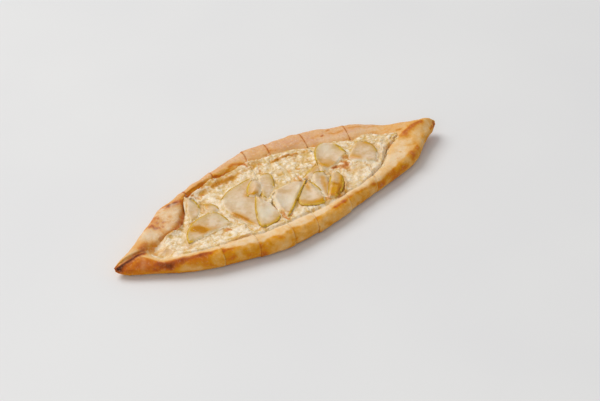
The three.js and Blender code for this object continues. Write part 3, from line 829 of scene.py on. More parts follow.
def smooth_copy(node, name, levels, sharp):
    """A new piece with the form of a CAD node, rounded but for the edges that a test calls sharp."""
    shape = bmesh.new()
    shape.from_mesh(frame["nodes"][node].data)
    bmesh.ops.remove_doubles(shape, verts=shape.verts, dist=WELD)
    bmesh.ops.join_triangles(
        shape,
        faces=shape.faces,
        angle_face_threshold=JOINED_FACE_ANGLE,
        angle_shape_threshold=JOINED_SHAPE_ANGLE,
    )
    creases = shape.edges.layers.float.new("crease_edge")
    for edge in shape.edges:
        edge[creases] = float(sharp(edge))
    mesh = bpy.data.meshes.new(name)
    shape.to_mesh(mesh)
    shape.free()
    piece = bpy.data.objects.new(name, mesh)
    bpy.context.scene.collection.objects.link(piece)
    rounding = piece.modifiers.new("rounding", "SUBSURF")
    rounding.levels = levels
    bpy.context.view_layer.update()
    evaluated = piece.evaluated_get(bpy.context.evaluated_depsgraph_get())
    piece.data = bpy.data.meshes.new_from_object(evaluated)
    piece.data.name = name
    piece.modifiers.clear()
    bpy.data.meshes.remove(mesh)
    piece.data.polygons.foreach_set("use_smooth", [True] * len(piece.data.polygons))
    return piece


def at_a_cut(edge):
    """Whether an edge bounds the flat face of a knife cut."""
    cut = [abs(face.normal.x) > Surface.CUT_FACING for face in edge.link_faces]
    return any(cut) and not all(cut)


def at_a_rim(edge):
    """Whether an edge bounds the cut side of a pear slice."""
    return edge.calc_face_angle(0) > RIM_ANGLE


def dress(piece, node, material):
    """Puts a finished piece in the place of its CAD node."""
    piece.data.materials.clear()
    piece.data.materials.append(material)
    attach(piece, "root")
    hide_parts(node)


class Socket:
    """An output of a shader node, with the arithmetic that the finishes are written in."""

    def __init__(self, finish, output):
        self.finish = finish
        self.output = output

    def maths(self, operation, first, second, clamp=False):
        """The outcome of a maths node."""
        settings = {"operation": operation, "use_clamp": clamp}
        return self.finish.node("ShaderNodeMath", settings, {0: first, 1: second})

    def __add__(self, other):
        return self.maths("ADD", self, other)

    def __mul__(self, other):
        return self.maths("MULTIPLY", self, other)

    def __sub__(self, other):
        return self.maths("SUBTRACT", self, other)

    def __rsub__(self, other):
        return self.maths("SUBTRACT", other, self)

    __radd__ = __add__
    __rmul__ = __mul__

    def clamped(self):
        """The number, kept from 0 to 1."""
        return self.maths("ADD", self, 0.0, clamp=True)


class Finish:
    """A material in the making."""

    def __init__(self, name):
        self.material = bpy.data.materials.new(name)
        self.material.use_nodes = True
        self.tree = self.material.node_tree
        self.tree.nodes.clear()
        self.place = self.node("ShaderNodeTexCoord", output="Object")

    def node(self, kind, settings=None, inputs=None, output=0):
        """Adds a node of any type: first its settings, then the values or links of its sockets."""
        made = self.tree.nodes.new(kind)
        for name, value in (settings or {}).items():
            if name == "stops":
                self.set_stops(made.color_ramp, value)
            else:
                setattr(made, name, value)
        for key, value in (inputs or {}).items():
            if isinstance(value, Socket):
                self.tree.links.new(value.output, made.inputs[key])
            else:
                made.inputs[key].default_value = value
        return Socket(self, made.outputs[output])

    @staticmethod
    def set_stops(ramp, stops):
        """Gives a colour ramp its places and colours."""
        while len(ramp.elements) < len(stops):
            ramp.elements.new(1.0)
        for element, (position, colour) in zip(ramp.elements, stops):
            element.position = position
            element.color = colour

    def kept(self, name):
        """A number that the mesh keeps for each point."""
        return self.node("ShaderNodeAttribute", {"attribute_name": name}, output="Fac")

    def clouds(self, size, detail=3.0, roughness=0.55):
        """Noise from 0 to 1 with lumps of the given size in mm."""
        inputs = {
            "Vector": self.place,
            "Scale": 1 / (size * MM),
            "Detail": detail,
            "Roughness": roughness,
        }
        return self.node("ShaderNodeTexNoise", None, inputs, "Fac")

    def tones(self, level, look, places):
        """A colour that goes through several of a look's colours as a number rises."""
        stops = [(place, opaque(getattr(look, name))) for place, name in places]
        return self.node("ShaderNodeValToRGB", {"stops": stops}, {"Fac": level}, "Color")

    def between(self, level, low, high):
        """How far a number has gone from low to high, from 0 to 1."""
        settings = {"interpolation_type": "SMOOTHSTEP"}
        inputs = {"Value": level, "From Min": low, "From Max": high}
        return self.node("ShaderNodeMapRange", settings, inputs)

    def mix(self, first, second, share):
        """One colour, and over it a share of another."""
        inputs = {0: share, 6: opaque(first), 7: opaque(second)}
        return self.node("ShaderNodeMix", {"data_type": "RGBA"}, inputs, 2)

    def toast(self, colour, level, look):
        """A colour of the topping, browned by a level from 0 to 1."""
        return self.mix(colour, self.tones(level, look, TOAST_TONES), self.between(level, 0.1, 0.6))

    def bump(self, height, depth, strength=1.0):
        """The facing that relief of a depth in mm gives."""
        inputs = {"Height": height, "Distance": depth * MM, "Strength": strength}
        return self.node("ShaderNodeBump", None, inputs, "Normal")

    def done(self, inputs):
        """Closes the material with its surface shader."""
        shader = self.node("ShaderNodeBsdfPrincipled", None, inputs, "BSDF")
        ending = self.tree.nodes.new("ShaderNodeOutputMaterial")
        self.tree.links.new(shader.output, ending.inputs["Surface"])
        return self.material


def opaque(colour):
    """A colour with the alpha that a socket asks for, or the socket that a colour comes from."""
    return colour if isinstance(colour, Socket) else (*colour, 1.0)


def crust_finish(look):
    """Baked dough: pale where it is thick with flour, golden on its walls and dark on its ridges."""
    finish = Finish("baked_crust")
    browning = finish.kept("browning")
    blush = finish.kept("blush")
    specks = finish.clouds(1.7, detail=4, roughness=0.65)
    uneven = (finish.clouds(11, detail=3) - 0.5) * 0.22 + (specks - 0.5) * (0.36 + blush * 0.2)
    baked = finish.tones(browning + uneven * (1.15 - browning), look, CRUST_TONES)
    dust = finish.between(finish.clouds(2.6, detail=4, roughness=0.7), 0.25, 0.65)
    flour = (finish.kept("flour") * (0.35 + dust * 0.65)).clamped()
    blushing = (blush * (0.4 + dust * 0.6)).clamped()
    grit = finish.clouds(2.1, detail=3, roughness=0.75)
    pale_grit = finish.between(grit, 0.53, 0.68) * (0.16 + blush * 0.4)
    dark_grit = finish.between(1 - grit, 0.54, 0.7) * (0.16 + blush * 0.16)
    colour = finish.mix(baked, look.blush, blushing)
    colour = finish.mix(colour, look.flour, flour)
    colour = finish.mix(colour, look.flour, pale_grit)
    colour = finish.mix(colour, look.brown, dark_grit)
    relief = finish.clouds(0.9, detail=4, roughness=0.6) * 0.6 + finish.clouds(3.1, detail=3) * 0.4
    return finish.done(
        {
            "Base Color": colour,
            "Roughness": 0.62 - finish.between(browning, 0.5, 0.9) * 0.1 + flour * 0.15,
            "Normal": finish.bump(relief, 0.5, 0.7),
            "IOR": 1.45,
            "Specular IOR Level": 0.12,
            "Subsurface Weight": 0.06,
            "Subsurface Radius": (1.0, 0.5, 0.2),
            "Subsurface Scale": 0.002,
        }
    )


def cheese_finish(look):
    """Melted curd cheese: cream lumps, translucent and with painted shade between them, with golden and
    browned places.
    """
    finish = Finish("melted_cheese")
    valley = finish.kept("valley")
    honey = finish.kept("honey")
    toast = finish.kept("browning")
    lumps = finish.clouds(4.5, detail=4, roughness=0.6)
    specks = finish.clouds(1.3, detail=4, roughness=0.7)
    # The valleys take the whey colour, which also stands for painted shade there.
    base = finish.mix(
        look.curd,
        look.whey,
        (valley * 0.65 + finish.between(lumps, 0.42, 0.7) * 0.5 + (specks - 0.5) * 1.1).clamped(),
    )
    pools = finish.between(finish.clouds(11, detail=3, roughness=0.6), 0.5, 0.7) * 0.45
    golden = (honey * (0.8 + lumps * 0.7) + pools * valley).clamped()
    oiled = finish.mix(base, look.golden, golden)
    dots = finish.between(finish.clouds(0.8, detail=2, roughness=0.5), 0.66, 0.76) * 0.3
    colour = finish.toast(oiled, toast + dots + (specks - 0.5) * 0.5 + (lumps - 0.5) * 0.25, look)
    relief = finish.clouds(1.1, detail=4, roughness=0.6) * 0.5 + specks * 0.5
    return finish.done(
        {
            "Base Color": colour,
            "Roughness": 0.5 - honey * 0.25 + finish.between(specks, 0.4, 0.8) * 0.12,
            "Normal": finish.bump(relief, 0.35, 0.6),
            "Coat Weight": (0.08 + honey * 0.2).clamped(),
            "Coat Roughness": 0.18,
            "IOR": 1.45,
            "Subsurface Weight": 0.25,
            "Subsurface Radius": (1.0, 0.8, 0.5),
            "Subsurface Scale": 0.0025,
        }
    )


def pear_finish(look, cheese):
    """Thin pear slices glazed with honey: clear flesh, amber where honey lies, olive skin."""
    finish = Finish("glazed_pear")
    skin = finish.kept("skin")
    honey = finish.kept("honey")
    thin = finish.kept("thin")
    clouds = finish.clouds(9, detail=3)
    fibres = finish.clouds(1.2, detail=4, roughness=0.65)
    lumps = finish.clouds(3.2, detail=3)
    uneven = finish.between(clouds * 0.6 + lumps * 0.4, 0.38, 0.64)
    flesh = finish.mix(look.flesh, look.clear, uneven)
    # Painted highlights: pale patches laid over the flesh.
    pale = finish.mix(flesh, look.white, finish.kept("white") * 0.8)
    amber = (honey * (1.0 + clouds * 0.7)).clamped()
    tinged = finish.mix(pale, look.by_skin, finish.kept("by_skin"))
    glazed = finish.mix(tinged, look.amber, amber)
    rim = finish.between(thin + (lumps - 0.5) * 0.8, 0.35, 0.85)
    around = finish.mix(cheese.curd, cheese.whey, uneven)
    melted = finish.mix(glazed, around, rim * 0.85)
    browned = finish.toast(melted, finish.kept("browning") * 0.6 + (fibres - 0.5) * 0.25, cheese)
    peel = finish.mix(
        look.skin,
        look.skin_dark,
        finish.between(finish.clouds(4, detail=2) * 0.6 + fibres * 0.4, 0.4, 0.62),
    )
    colour = finish.mix(browned, peel, finish.between(skin, 0.3, 0.7))
    solid = finish.between(skin, 0.2, 0.6)
    return finish.done(
        {
            "Base Color": colour,
            "Alpha": (0.82 + thin * 0.3 + solid * 0.4 + amber * 0.15).clamped(),
            "Roughness": 0.36 - amber * 0.12 + finish.between(fibres, 0.4, 0.8) * 0.1,
            "Normal": finish.bump(fibres * 0.5 + clouds * 0.5, 0.35, 0.5),
            "Coat Weight": (0.08 + honey * 0.12 - thin * 0.08).clamped(),
            "Coat Roughness": 0.12,
            "IOR": 1.42,
            "Specular IOR Level": 0.3,
            "Subsurface Weight": 0.3,
            "Subsurface Radius": (1.0, 0.8, 0.5),
            "Subsurface Scale": 0.002,
        }
    )


def honey_finish(look):
    """Clear amber honey, which shows most where it lies deep."""
    finish = Finish("honey")
    full = finish.kept("full")
    colour = finish.mix(look.honey, look.honey_deep, full)
    return finish.done(
        {
            "Base Color": colour,
            "Alpha": finish.between(full, 0.1, 1.0) * 0.36,
            "Roughness": 0.15,
            "IOR": 1.48,
            "Specular IOR Level": 0.25,
            "Coat Weight": 0.12,
            "Coat Roughness": 0.05,
        }
    )


def floor_finish(look):
    """A pale matt floor."""
    finish = Finish("pale_floor")
    shade = finish.mix(
        look.floor,
        look.floor_shade,
        finish.between(finish.clouds(240, detail=2), 0.3, 0.7),
    )
    return finish.done({"Base Color": shade, "Roughness": 0.7, "Specular IOR Level": 0.2})


def colour_property(name, description, default):
    """A colour that a user can change."""
    return FloatVectorProperty(
        name=name, description=description, default=default, subtype="COLOR", min=0, max=1, size=3
    )


def length_property(name, description, default):
    """A length in metres that a user can change."""
    return FloatProperty(
        name=name, description=description, default=default, min=0, subtype="DISTANCE", unit="LENGTH"
    )


def tint(red, green, blue):
    """A display colour from 0 to 255, as the share of light that it stands for."""
    return tuple(((c / 255 + 0.055) / 1.055) ** 2.4 for c in (red, green, blue))


class CrustLook(bpy.types.PropertyGroup):
    """Sizes and colours of the crust."""

    lump_height: length_property("Lumps", "Height of the soft lumps of the dough", 0.35 * MM)
    grain_height: length_property("Grain", "Height of the fine grain of the crust", 0.13 * MM)
    pale: colour_property("Pale", "Dough that is hardly browned", tint(242, 212, 170))
    gold: colour_property("Gold", "Light golden dough", tint(234, 184, 112))
    tan: colour_property("Tan", "Golden dough", tint(230, 168, 76))
    amber: colour_property("Amber", "Well baked dough", tint(220, 146, 18))
    orange: colour_property("Orange", "Ridges that begin to brown", tint(208, 118, 16))
    brown: colour_property("Brown", "Browned ridges", tint(180, 88, 28))
    dark: colour_property("Dark", "Dark blisters", tint(134, 62, 20))
    burnt: colour_property("Burnt", "The burnt tip", tint(50, 18, 6))
    flour: colour_property("Flour", "Dough under a dust of flour", tint(242, 216, 180))
    blush: colour_property("Blush", "Dough that has hardly coloured", tint(222, 172, 138))


class CheeseLook(bpy.types.PropertyGroup):
    """Sizes and colours of the cheese."""

    curd_height: length_property("Curds", "Height of the curds", 0.8 * MM)
    spread: length_property("Spread", "How far the cheese has melted into its gaps", 0.45 * MM)
    curd: colour_property("Curd", "The top of a curd", tint(248, 231, 205))
    # Whey colour, also used as painted shade in the valleys between curds.
    whey: colour_property("Whey", "Clear cheese between curds", tint(216, 177, 98))
    golden: colour_property("Golden", "Cheese under honey and oil", tint(214, 152, 36))
    toasted: colour_property("Toasted", "Toasted cheese", tint(216, 142, 52))
    browned: colour_property("Browned", "Browned cheese", tint(182, 98, 32))
    charred: colour_property("Charred", "Charred cheese", tint(96, 56, 18))


class PearLook(bpy.types.PropertyGroup):
    """Sizes and colours of the pear slices and the honey."""

    wave_height: length_property("Waves", "Height of the small waves of a slice", 0.18 * MM)
    skin_width: length_property("Skin", "Width of the skin that shows at a slice's edge", 1.3 * MM)
    flesh: colour_property("Flesh", "Pear flesh", tint(246, 219, 187))
    clear: colour_property("Clear", "Flesh that the cheese shows through", tint(226, 190, 140))
    # Colour of the painted highlights on the pear slices.
    white: colour_property("White", "Flesh that lies hollow", tint(250, 240, 218))
    amber: colour_property("Amber", "Flesh under honey", tint(212, 150, 6))
    by_skin: colour_property("By the skin", "Flesh that the skin colours", tint(214, 176, 78))
    skin: colour_property("Skin", "Pear skin", tint(220, 180, 56))
    skin_dark: colour_property("Dark skin", "Baked pear skin", tint(188, 138, 26))
    honey: colour_property("Honey", "Thin honey", tint(232, 168, 52))
    honey_deep: colour_property("Deep honey", "Honey that lies deep", tint(204, 126, 12))


class StageLook(bpy.types.PropertyGroup):
    """The floor, the light and the camera."""

    window_power: FloatProperty(name="Window", description="Power of the soft light behind", default=136)
    fill_power: FloatProperty(name="Fill", description="Power of the soft light in front", default=5)
    sky: FloatProperty(name="Sky", description="Strength of the light from all round", default=0.42)
    lens: FloatProperty(name="Lens", description="Focal length in mm", default=85, min=1)
    floor: colour_property("Floor", "The pale floor", tint(232, 232, 232))
    floor_shade: colour_property("Floor shade", "Its faint clouds", tint(229, 229, 230))


class Loaf:
    """Where each point of a crust slice lies on the loaf, as shares from 0 to 1, and its noise."""

    def __init__(self, crust):
        self.points = crust.points
        x, y, z = crust.points.T
        to_right, to_back, up = crust.normals.T
        self.broad = rough(crust.points, size=14, seed=1)
        self.middle = rough(crust.points, size=5, seed=2)
        self.fine = rough(crust.points, size=1.8, seed=3)
        self.streaks = rough(crust.points * STREAK_SHAPE, size=2.4, seed=18)

        self.near = sharing(y, *NEAR_SIDE)
        self.far = 1 - self.near
        self.left = sharing(x, *LEFT_PART)
        self.left_tip = sharing(x, *LEFT_TIP)
        self.right_half = sharing(x, *RIGHT_HALF)
        self.right_tip = sharing(x, *RIGHT_TIP)
        self.flap = self.far * sharing(x, *FLAP_START) * sharing(x, *FLAP_END)

        outward = to_back * np.sign(y) + TIPWARD_SHARE * to_right * np.sign(x)
        beyond = np.interp(x, *np.transpose(NEAR_RIDGE)) - y + RIDGE_WANDER * self.middle
        self.under = sharing(up, *UNDER_FACING) * sharing(z, *UNDER_HEIGHT)
        wall = sharing(up, *WALL_FACING) * sharing(outward, *WALL_OUTWARD)
        ridge = sharing(beyond, *RIDGE_WIDTH) * (1 - RIDGE_LOST * self.right_tip)
        self.wall = np.maximum(wall, ridge) * (1 - self.under)
        self.top = 1 - self.wall
        self.inner = sharing(up, *INNER_FACING) * sharing(outward, *INNER_OUTWARD) * (1 - self.under)
        self.crest = self.wall * self.near * np.exp(-np.maximum(beyond, 0) / CREST_WIDTH)

        within = y - np.interp(x, *np.transpose(FAR_LIP))
        within += added(LIP_WANDER, (self.middle, self.streaks))
        self.lip = sharing(within, LIP_WIDTH, 0) * self.far * sharing(x, *LIP_START)


def plain_browning(loaf):
    """How far each part of the crust is browned, before any mark is laid on it."""
    near, far, wall, top = loaf.near, loaf.far, loaf.wall, loaf.top
    clouds = loaf.broad + loaf.middle
    browning = Bake.ALL + Bake.UNDERSIDE * loaf.under + Bake.RIGHT_TIP * loaf.right_tip
    browning += wall * (Bake.WALL + near * (Bake.LEFT_WALL * loaf.left + Bake.LEFT_TIP * loaf.left_tip))
    browning += Bake.CREST * loaf.crest * sharing(loaf.broad, *Bake.CREST_PATCHES)
    browning += Bake.NEAR_TOP * near * top * sharing(clouds, *Bake.NEAR_PATCHES)
    browning += far * top * (Bake.FAR_TOP + Bake.LEFT_FAR_TOP * loaf.left)
    browning += far * loaf.inner * (Bake.INNER_SIDE - Bake.PALER_INNER_SIDE * loaf.right_half)
    browning += Bake.FLAP * loaf.flap * sharing(clouds, *Bake.FLAP_PATCHES)
    spots = rough(loaf.points, size=3.4, seed=20) + Bake.FINE_SPOTS * loaf.fine
    spotted = far * top * sharing(spots, *Bake.SPOT_PATCHES)
    browning += spotted * (Bake.SPOTS + Bake.FLAP_SPOTS * loaf.flap)
    uneven = added((Bake.BROAD_CLOUDS, Bake.SMALL_CLOUDS), (loaf.broad, loaf.middle))
    return browning + uneven * (Bake.CLOUDS_ON_TOP + wall)


def lip_browning(loaf):
    """How far the inner side of the far rim is toasted, in streaks and less on the right half."""
    plain = Bake.LIP - Bake.PALER_LIP * loaf.right_half
    streaked = Bake.LIP_STREAKS - Bake.PALER_LIP_STREAKS * loaf.right_half
    return loaf.lip * (plain + streaked * sharing(loaf.streaks + loaf.broad, *Bake.LIP_PATCHES))


def colour_crust(crust, loaf):
    """Keeps how far each point of the crust is browned, floured and blushed, with painted shade along
    the cuts and one painted glint.
    """
    points, near, far = loaf.points, loaf.near, loaf.far
    wobble = 1 + added(CRUST_WOBBLE, (loaf.middle, loaf.fine))
    pale = marked(points, PALE_AND_GLINT, wobble)
    before_cut, after_cut = beside_cuts(points)
    browning = plain_browning(loaf) * (1 - Bake.PALE_LOSS * pale)
    browning *= 1 - Bake.CUT_LOSS * before_cut * near
    marks = np.maximum.reduce(
        [
            marked(points, BROWNED, wobble),
            marked(points[:, :2], GOLDEN, wobble) * Bake.OILED,
            # Painted shade along the knife cuts, where the closed gaps would be in shadow.
            np.maximum(before_cut * far, after_cut) * (Bake.FAR_CUT_SHADE * far + Bake.NEAR_CUT_SHADE * near),
            lip_browning(loaf),
        ]
    )
    crust.keep("browning", browning + (1 - np.clip(browning, 0, 1)) * marks)

    bare = loaf.top * (1 - loaf.inner) * (1 - marks)
    dust = rough(points, size=4, seed=23) + Flour.FINE_PATCHES * loaf.fine
    dusted = loaf.flap * sharing(dust, *Flour.FLAP_PATCHES)
    flour = near * bare * (Flour.NEAR_TOP - Flour.LESS_AT_RIGHT_TIP * loaf.right_tip)
    flour += Flour.PALE_MARKS * pale + Flour.FLAP * dusted + Flour.UNDERSIDE * loaf.under
    crust.keep("flour", np.clip(flour, 0, 1))

    blush = far * bare * (Blush.FAR_TOP + Blush.CLOUDS * loaf.broad)
    blush *= 1 - loaf.lip * (1 - Blush.LIP_AT_RIGHT * loaf.right_half)
    crust.keep("blush", np.clip(blush * (1 - Blush.LESS_AT_LEFT * loaf.left), 0, 1))


def raise_crust(loaf, look, number):
    """How far the crust stands out at each point in mm: lumps, grain, blisters and creases."""
    points = loaf.points
    height = look.lump_height / MM * (rough(points, size=9, seed=4) + SMALLER_LUMPS * loaf.middle)
    height += look.grain_height / MM * (loaf.fine + SMALLER_LUMPS * rough(points, size=0.9, seed=5))
    wobble = 1 + BLISTER_WOBBLE * loaf.middle
    for place, radius, rise in BLISTERS:
        reach = np.linalg.norm(points - np.array(place), axis=1) / radius * wobble
        height += rise * np.exp(-BLISTER_STEEPNESS * reach * reach)
    height += small_blisters(points, loaf.wall, number)
    for line, width, depth in CREASES:
        reach = distance_to(points, line) / width
        height -= depth * np.exp(-reach * reach)
    return height * (1 - SMOOTH_UNDERSIDE * loaf.under)


def bake_slice(number, look, material):
    """One slice of the bread: relief in the mesh, and how far it is browned at each point."""
    node = f"crust_slice_{number}"
    piece = smooth_copy(node, f"baked_crust_{number}", SLICE_ROUNDING, at_a_cut)
    crust = Surface(piece, has_cuts=True)
    loaf = Loaf(crust)
    colour_crust(crust, loaf)
    height = raise_crust(loaf, look, number)
    crust.move(crust.normals * height[:, None] + CLOSED_CUT * crust.cut_normals)
    dress(piece, node, material)


def beside_cuts(points):
    """How close each point is to a knife cut, first for those before a cut, then for those after."""
    before = np.zeros(len(points))
    after = np.zeros(len(points))
    for along, slant in CUTS:
        off = points[:, 0] - along - slant * points[:, 1]
        close = np.exp(-((off / CUT_MARK) ** 2))
        before = np.maximum(before, close * (off < 0))
        after = np.maximum(after, close * (off > 0))
    return before, after


def small_blisters(points, wall, number):
    """The height of the small blisters that are scattered over one slice's walls."""
    dice = np.random.default_rng(SMALL_BLISTER_SEED + number)
    places = np.flatnonzero((wall > MOST) & (points[:, 2] > SMALL_BLISTERS_ABOVE))
    height = np.zeros(len(points))
    for place in dice.choice(places, SMALL_BLISTERS // SLICES):
        radius = dice.uniform(*SMALL_BLISTER_SIZES)
        reach = np.linalg.norm(points - points[place], axis=1) / radius
        height += SMALL_BLISTER_RISE * radius * np.exp(-SMALL_BLISTER_STEEPNESS * reach * reach)
    return height


class Curds:
    """The lumps of a slice of cheese at each point, from about -1 to 1, and the rise they add up to."""

    def __init__(self, points):
        self.broad = rough(points, size=11, seed=9)
        self.middle = rough(points, size=4.5, seed=6)
        self.fine = rough(points, size=1.9, seed=8)
        finest = rough(points, size=0.9, seed=7)
        grains = crumbly(points, size=2.6, seed=6) - GRAIN_LEVEL
        crumbs = crumbly(points, size=5, seed=19) - GRAIN_LEVEL
        crumbled = sharing(points[:, 0], *CRUMBLED_ALONG) * sharing(points[:, 1], *CRUMBLED_ACROSS)
        self.rise = added(CURD_SHARES, (self.broad, self.middle, self.fine, finest))
        self.rise += GRAIN_SHARE * grains * sharing(self.broad, *GRAIN_PATCHES)
        self.rise += CRUMB_SHARE * crumbs * crumbled


def melt_out(cheese, spread):
    """Moves a slice of cheese out into its gaps, and over the dough at its outer edge."""
    x = cheese.points[:, 0]
    side = sharing(abs(cheese.normals[:, 2]), *SIDE_FACING)
    backward = sharing(cheese.normals[:, 1], *BACK_FACING)
    further = FAR_SPREAD * backward * sharing(x, *FAR_SPREAD_START) * sharing(x, *FAR_SPREAD_END)
    run = spread + side * (EDGE_SPREAD + further)
    cheese.move(cheese.normals * run[:, None] + cheese.cut_normals * spread)


def colour_cheese(cheese, curds, away, top):
    """Keeps how clear, how browned and how golden each point of the cheese is."""
    points = cheese.points
    plan = points[:, :2]
    wobble = 1 + added(CHEESE_WOBBLE, (curds.middle, curds.fine))
    toast = np.maximum(marked(plan, TOASTED, wobble), marked(points, BROWNED, wobble))
    pale = marked(plan, PALE_CURDS, wobble)
    fringe = FRINGE_OIL * np.exp(-away / FRINGE_WIDTH) * sharing(curds.broad, *GRAIN_PATCHES)
    # Valleys between curds: clear whey and painted shade, darker the lower they lie.
    cheese.keep("valley", top * sharing(curds.rise, *VALLEY_LEVELS) * (1 - FEWER_VALLEYS * pale))
    cheese.keep("browning", CHEESE_TOASTED * toast)
    cheese.keep("honey", np.maximum(marked(plan, GOLDEN, wobble), fringe))


def raise_curds(points, curds, top, pears, look):
    """How far the cheese stands out at each point in mm: curds, sunken seams and lifts to the pears."""
    height = look.curd_height / MM * curds.rise
    seam = np.maximum(*beside_cuts(points))
    height -= SEAM_DEPTH * seam * sharing(rough(points, size=8, seed=10), *SEAM_PATCHES)
    lift = np.maximum(read_plan(pears, points) - points[:, 2] - height * top, 0)
    return (height + lift * (lift < HIGHEST_LIFT)) * top


def melt_slice(number, look, dough, brim, pears, material):
    """One slice of the cheese: curds on top, melted out over the dough and up to the pear slices."""
    node = f"cheese_slice_{number}"
    piece = smooth_copy(node, f"melted_cheese_{number}", SLICE_ROUNDING, at_a_cut)
    plain = Surface(piece, has_cuts=True)
    melt_out(plain, look.spread / MM)
    away = from_the_edge(plain)
    cheese = Surface(piece, has_cuts=True)
    x, y, _ = cheese.points.T
    top = sharing(cheese.normals[:, 2], *TOP_FACING)
    curds = Curds(cheese.points)
    colour_cheese(cheese, curds, away, top)
    height = raise_curds(cheese.points, curds, top, pears, look)
    far = np.maximum(sharing(y, *FAR_EDGE), sharing(x, *LEFT_EDGE)) * sharing(x, *RIGHT_EDGE)
    flatter = 1 - FLATTER_EDGE * far * sharing(away, *FLATTER_WIDTH)
    cheese.move(cheese.normals * (height * flatter)[:, None])
    settle_edge(cheese, away, far, dough, brim)
    dress(piece, node, material)


def edge_points(cheese):
    """The points of a slice of cheese that stand at its outer edge."""
    upright = (abs(cheese.normals[:, 2]) < EDGE_FACING) & (np.linalg.norm(cheese.normals, axis=1) > MOST)
    flat_face = np.linalg.norm(cheese.cut_normals, axis=1) > MOST
    at_the_end = flat_face & (abs(cheese.points[:, 0]) > CHEESE_HALF_LENGTH)
    return cheese.points[upright | at_the_end]


def from_the_edge(cheese):
    """How far in from the outer edge of the cheese each point lies in plan, in mm."""
    edge = edge_points(cheese)
    tree = KDTree(len(edge))
    for index, (x, y, _) in enumerate(edge.tolist()):
        tree.insert((x, y, 0), index)
    tree.balance()
    return np.array([tree.find((x, y, 0))[2] for x, y, _ in cheese.points.tolist()])


def settle_edge(cheese, away, far, dough, brim):
    """Brings the cheese down at its edge, so that it ends in a thin film that sinks into the dough."""
    points = cheese.points
    flat = points * IN_PLAN
    ground = read_plan(dough, points)
    uneven = added(EDGE_UNEVEN, (rough(flat, size=7, seed=16), rough(flat, size=2.2, seed=17)))
    bare = EDGE_BARE * far
    film = ground - EDGE_SINK + EDGE_SLOPE * np.maximum(away + uneven - bare, 0)
    film += NEAR_EDGE_SLOPE * away * (1 - far)
    held_up = sharing(away, HELD_FROM * bare, HELD_WHOLLY * bare + HELD_MARGIN)
    held_up *= sharing(points[:, 0], *BRIM_START)
    film += (read_plan(brim, points) - ground) * held_up
    underside = cheese.normals[:, 2] < UNDERSIDE_FACING
    limit = np.where(underside, ground - 2 * EDGE_SINK, film)
    lowered = np.minimum(points[:, 2], limit)
    share = sharing(away, *EDGE_REACH)
    cheese.move(np.outer((lowered - points[:, 2]) * share, UPWARD))


def one_tree(meshes):
    """One search tree for several meshes that lie in the same frame."""
    points, faces = [], []
    for mesh in meshes:
        start = len(points)
        points += [v.co.copy() for v in mesh.vertices]
        faces += [[start + v for v in face.vertices] for face in mesh.polygons]
    return BVHTree.FromPolygons(points, faces)


def height_plan(meshes, rising):
    """How high a plumb line first meets the meshes at each mm of a plan, from below or from above."""
    tree = one_tree(meshes)
    start = 0 if rising else PLAN_SKY * MM
    way = Vector(UPWARD) if rising else -Vector(UPWARD)
    plan = np.full((2 * PLAN_HALF[0] + 1, 2 * PLAN_HALF[1] + 1), BELOW)
    for i, j in np.ndindex(plan.shape):
        place = Vector(((i - PLAN_HALF[0]) * MM, (j - PLAN_HALF[1]) * MM, start))
        hit = tree.ray_cast(place, way)[0]
        if hit:
            plan[i, j] = hit.z / MM
    return plan


def widened(plan, reach, slope, gap=0.0):
    """A plan in which each place stands as high as its neighbours allow, less a slope for each mm."""
    padded = np.pad(plan, reach, constant_values=BELOW)
    high = np.full(plan.shape, BELOW)
    for di, dj in np.ndindex(2 * reach + 1, 2 * reach + 1):
        away = math.hypot(di - reach, dj - reach)
        part = padded[di : di + plan.shape[0], dj : dj + plan.shape[1]]
        high = np.maximum(high, part - gap - slope * away)
    return high


def without_holes(plan, reach=1):
    """A plan whose empty places take the height of their highest neighbour."""
    return np.where(plan < LOWEST_DOUGH, widened(plan, reach, 0), plan)


def read_plan(plan, points):
    """The height that a plan gives at each point, evenly between its places."""
    i = np.clip(points[:, 0] + PLAN_HALF[0], 0, 2 * PLAN_HALF[0] - TINY)
    j = np.clip(points[:, 1] + PLAN_HALF[1], 0, 2 * PLAN_HALF[1] - TINY)
    a, b = i.astype(int), j.astype(int)
    u, v = i - a, j - b
    near = plan[a, b] * (1 - u) + plan[a + 1, b] * u
    far = plan[a, b + 1] * (1 - u) + plan[a + 1, b + 1] * u
    return near * (1 - v) + far * v


def pieces_named(start):
    """The pieces whose names begin in a given way."""
    return [piece for piece in bpy.context.scene.objects if piece.name.startswith(start)]


def arc_share(angle, first, last):
    """How far inside an arc each angle lies, in degrees, with soft ends."""
    middle, half = (first + last) / 2, (last - first) / 2
    off = abs((angle - middle + 180) % 360 - 180)
    return sharing(half - off, -ARC_SOFTNESS, ARC_SOFTNESS)


def from_the_rim(pear):
    """How far in from its own rim each point of a pear slice lies in plan, in mm."""
    rim = pear.points[abs(pear.normals[:, 2]) < RIM_FACING][:, :2]
    return np.array([np.min(np.sum((rim - p) ** 2, axis=1)) for p in pear.points[:, :2]]) ** 0.5


def by_the_skin(number, points):
    """How far each point lies on a side of its slice that keeps the skin, from 0 to 1."""
    low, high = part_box(f"pear_slice_{number}")
    middle = np.array((low + high)[:2]) / 2 / MM
    angle = np.degrees(np.arctan2(points[:, 1] - middle[1], points[:, 0] - middle[0]))
    return np.max([arc_share(angle, *arc) for arc in PEAR_SKIN[number]], axis=0)


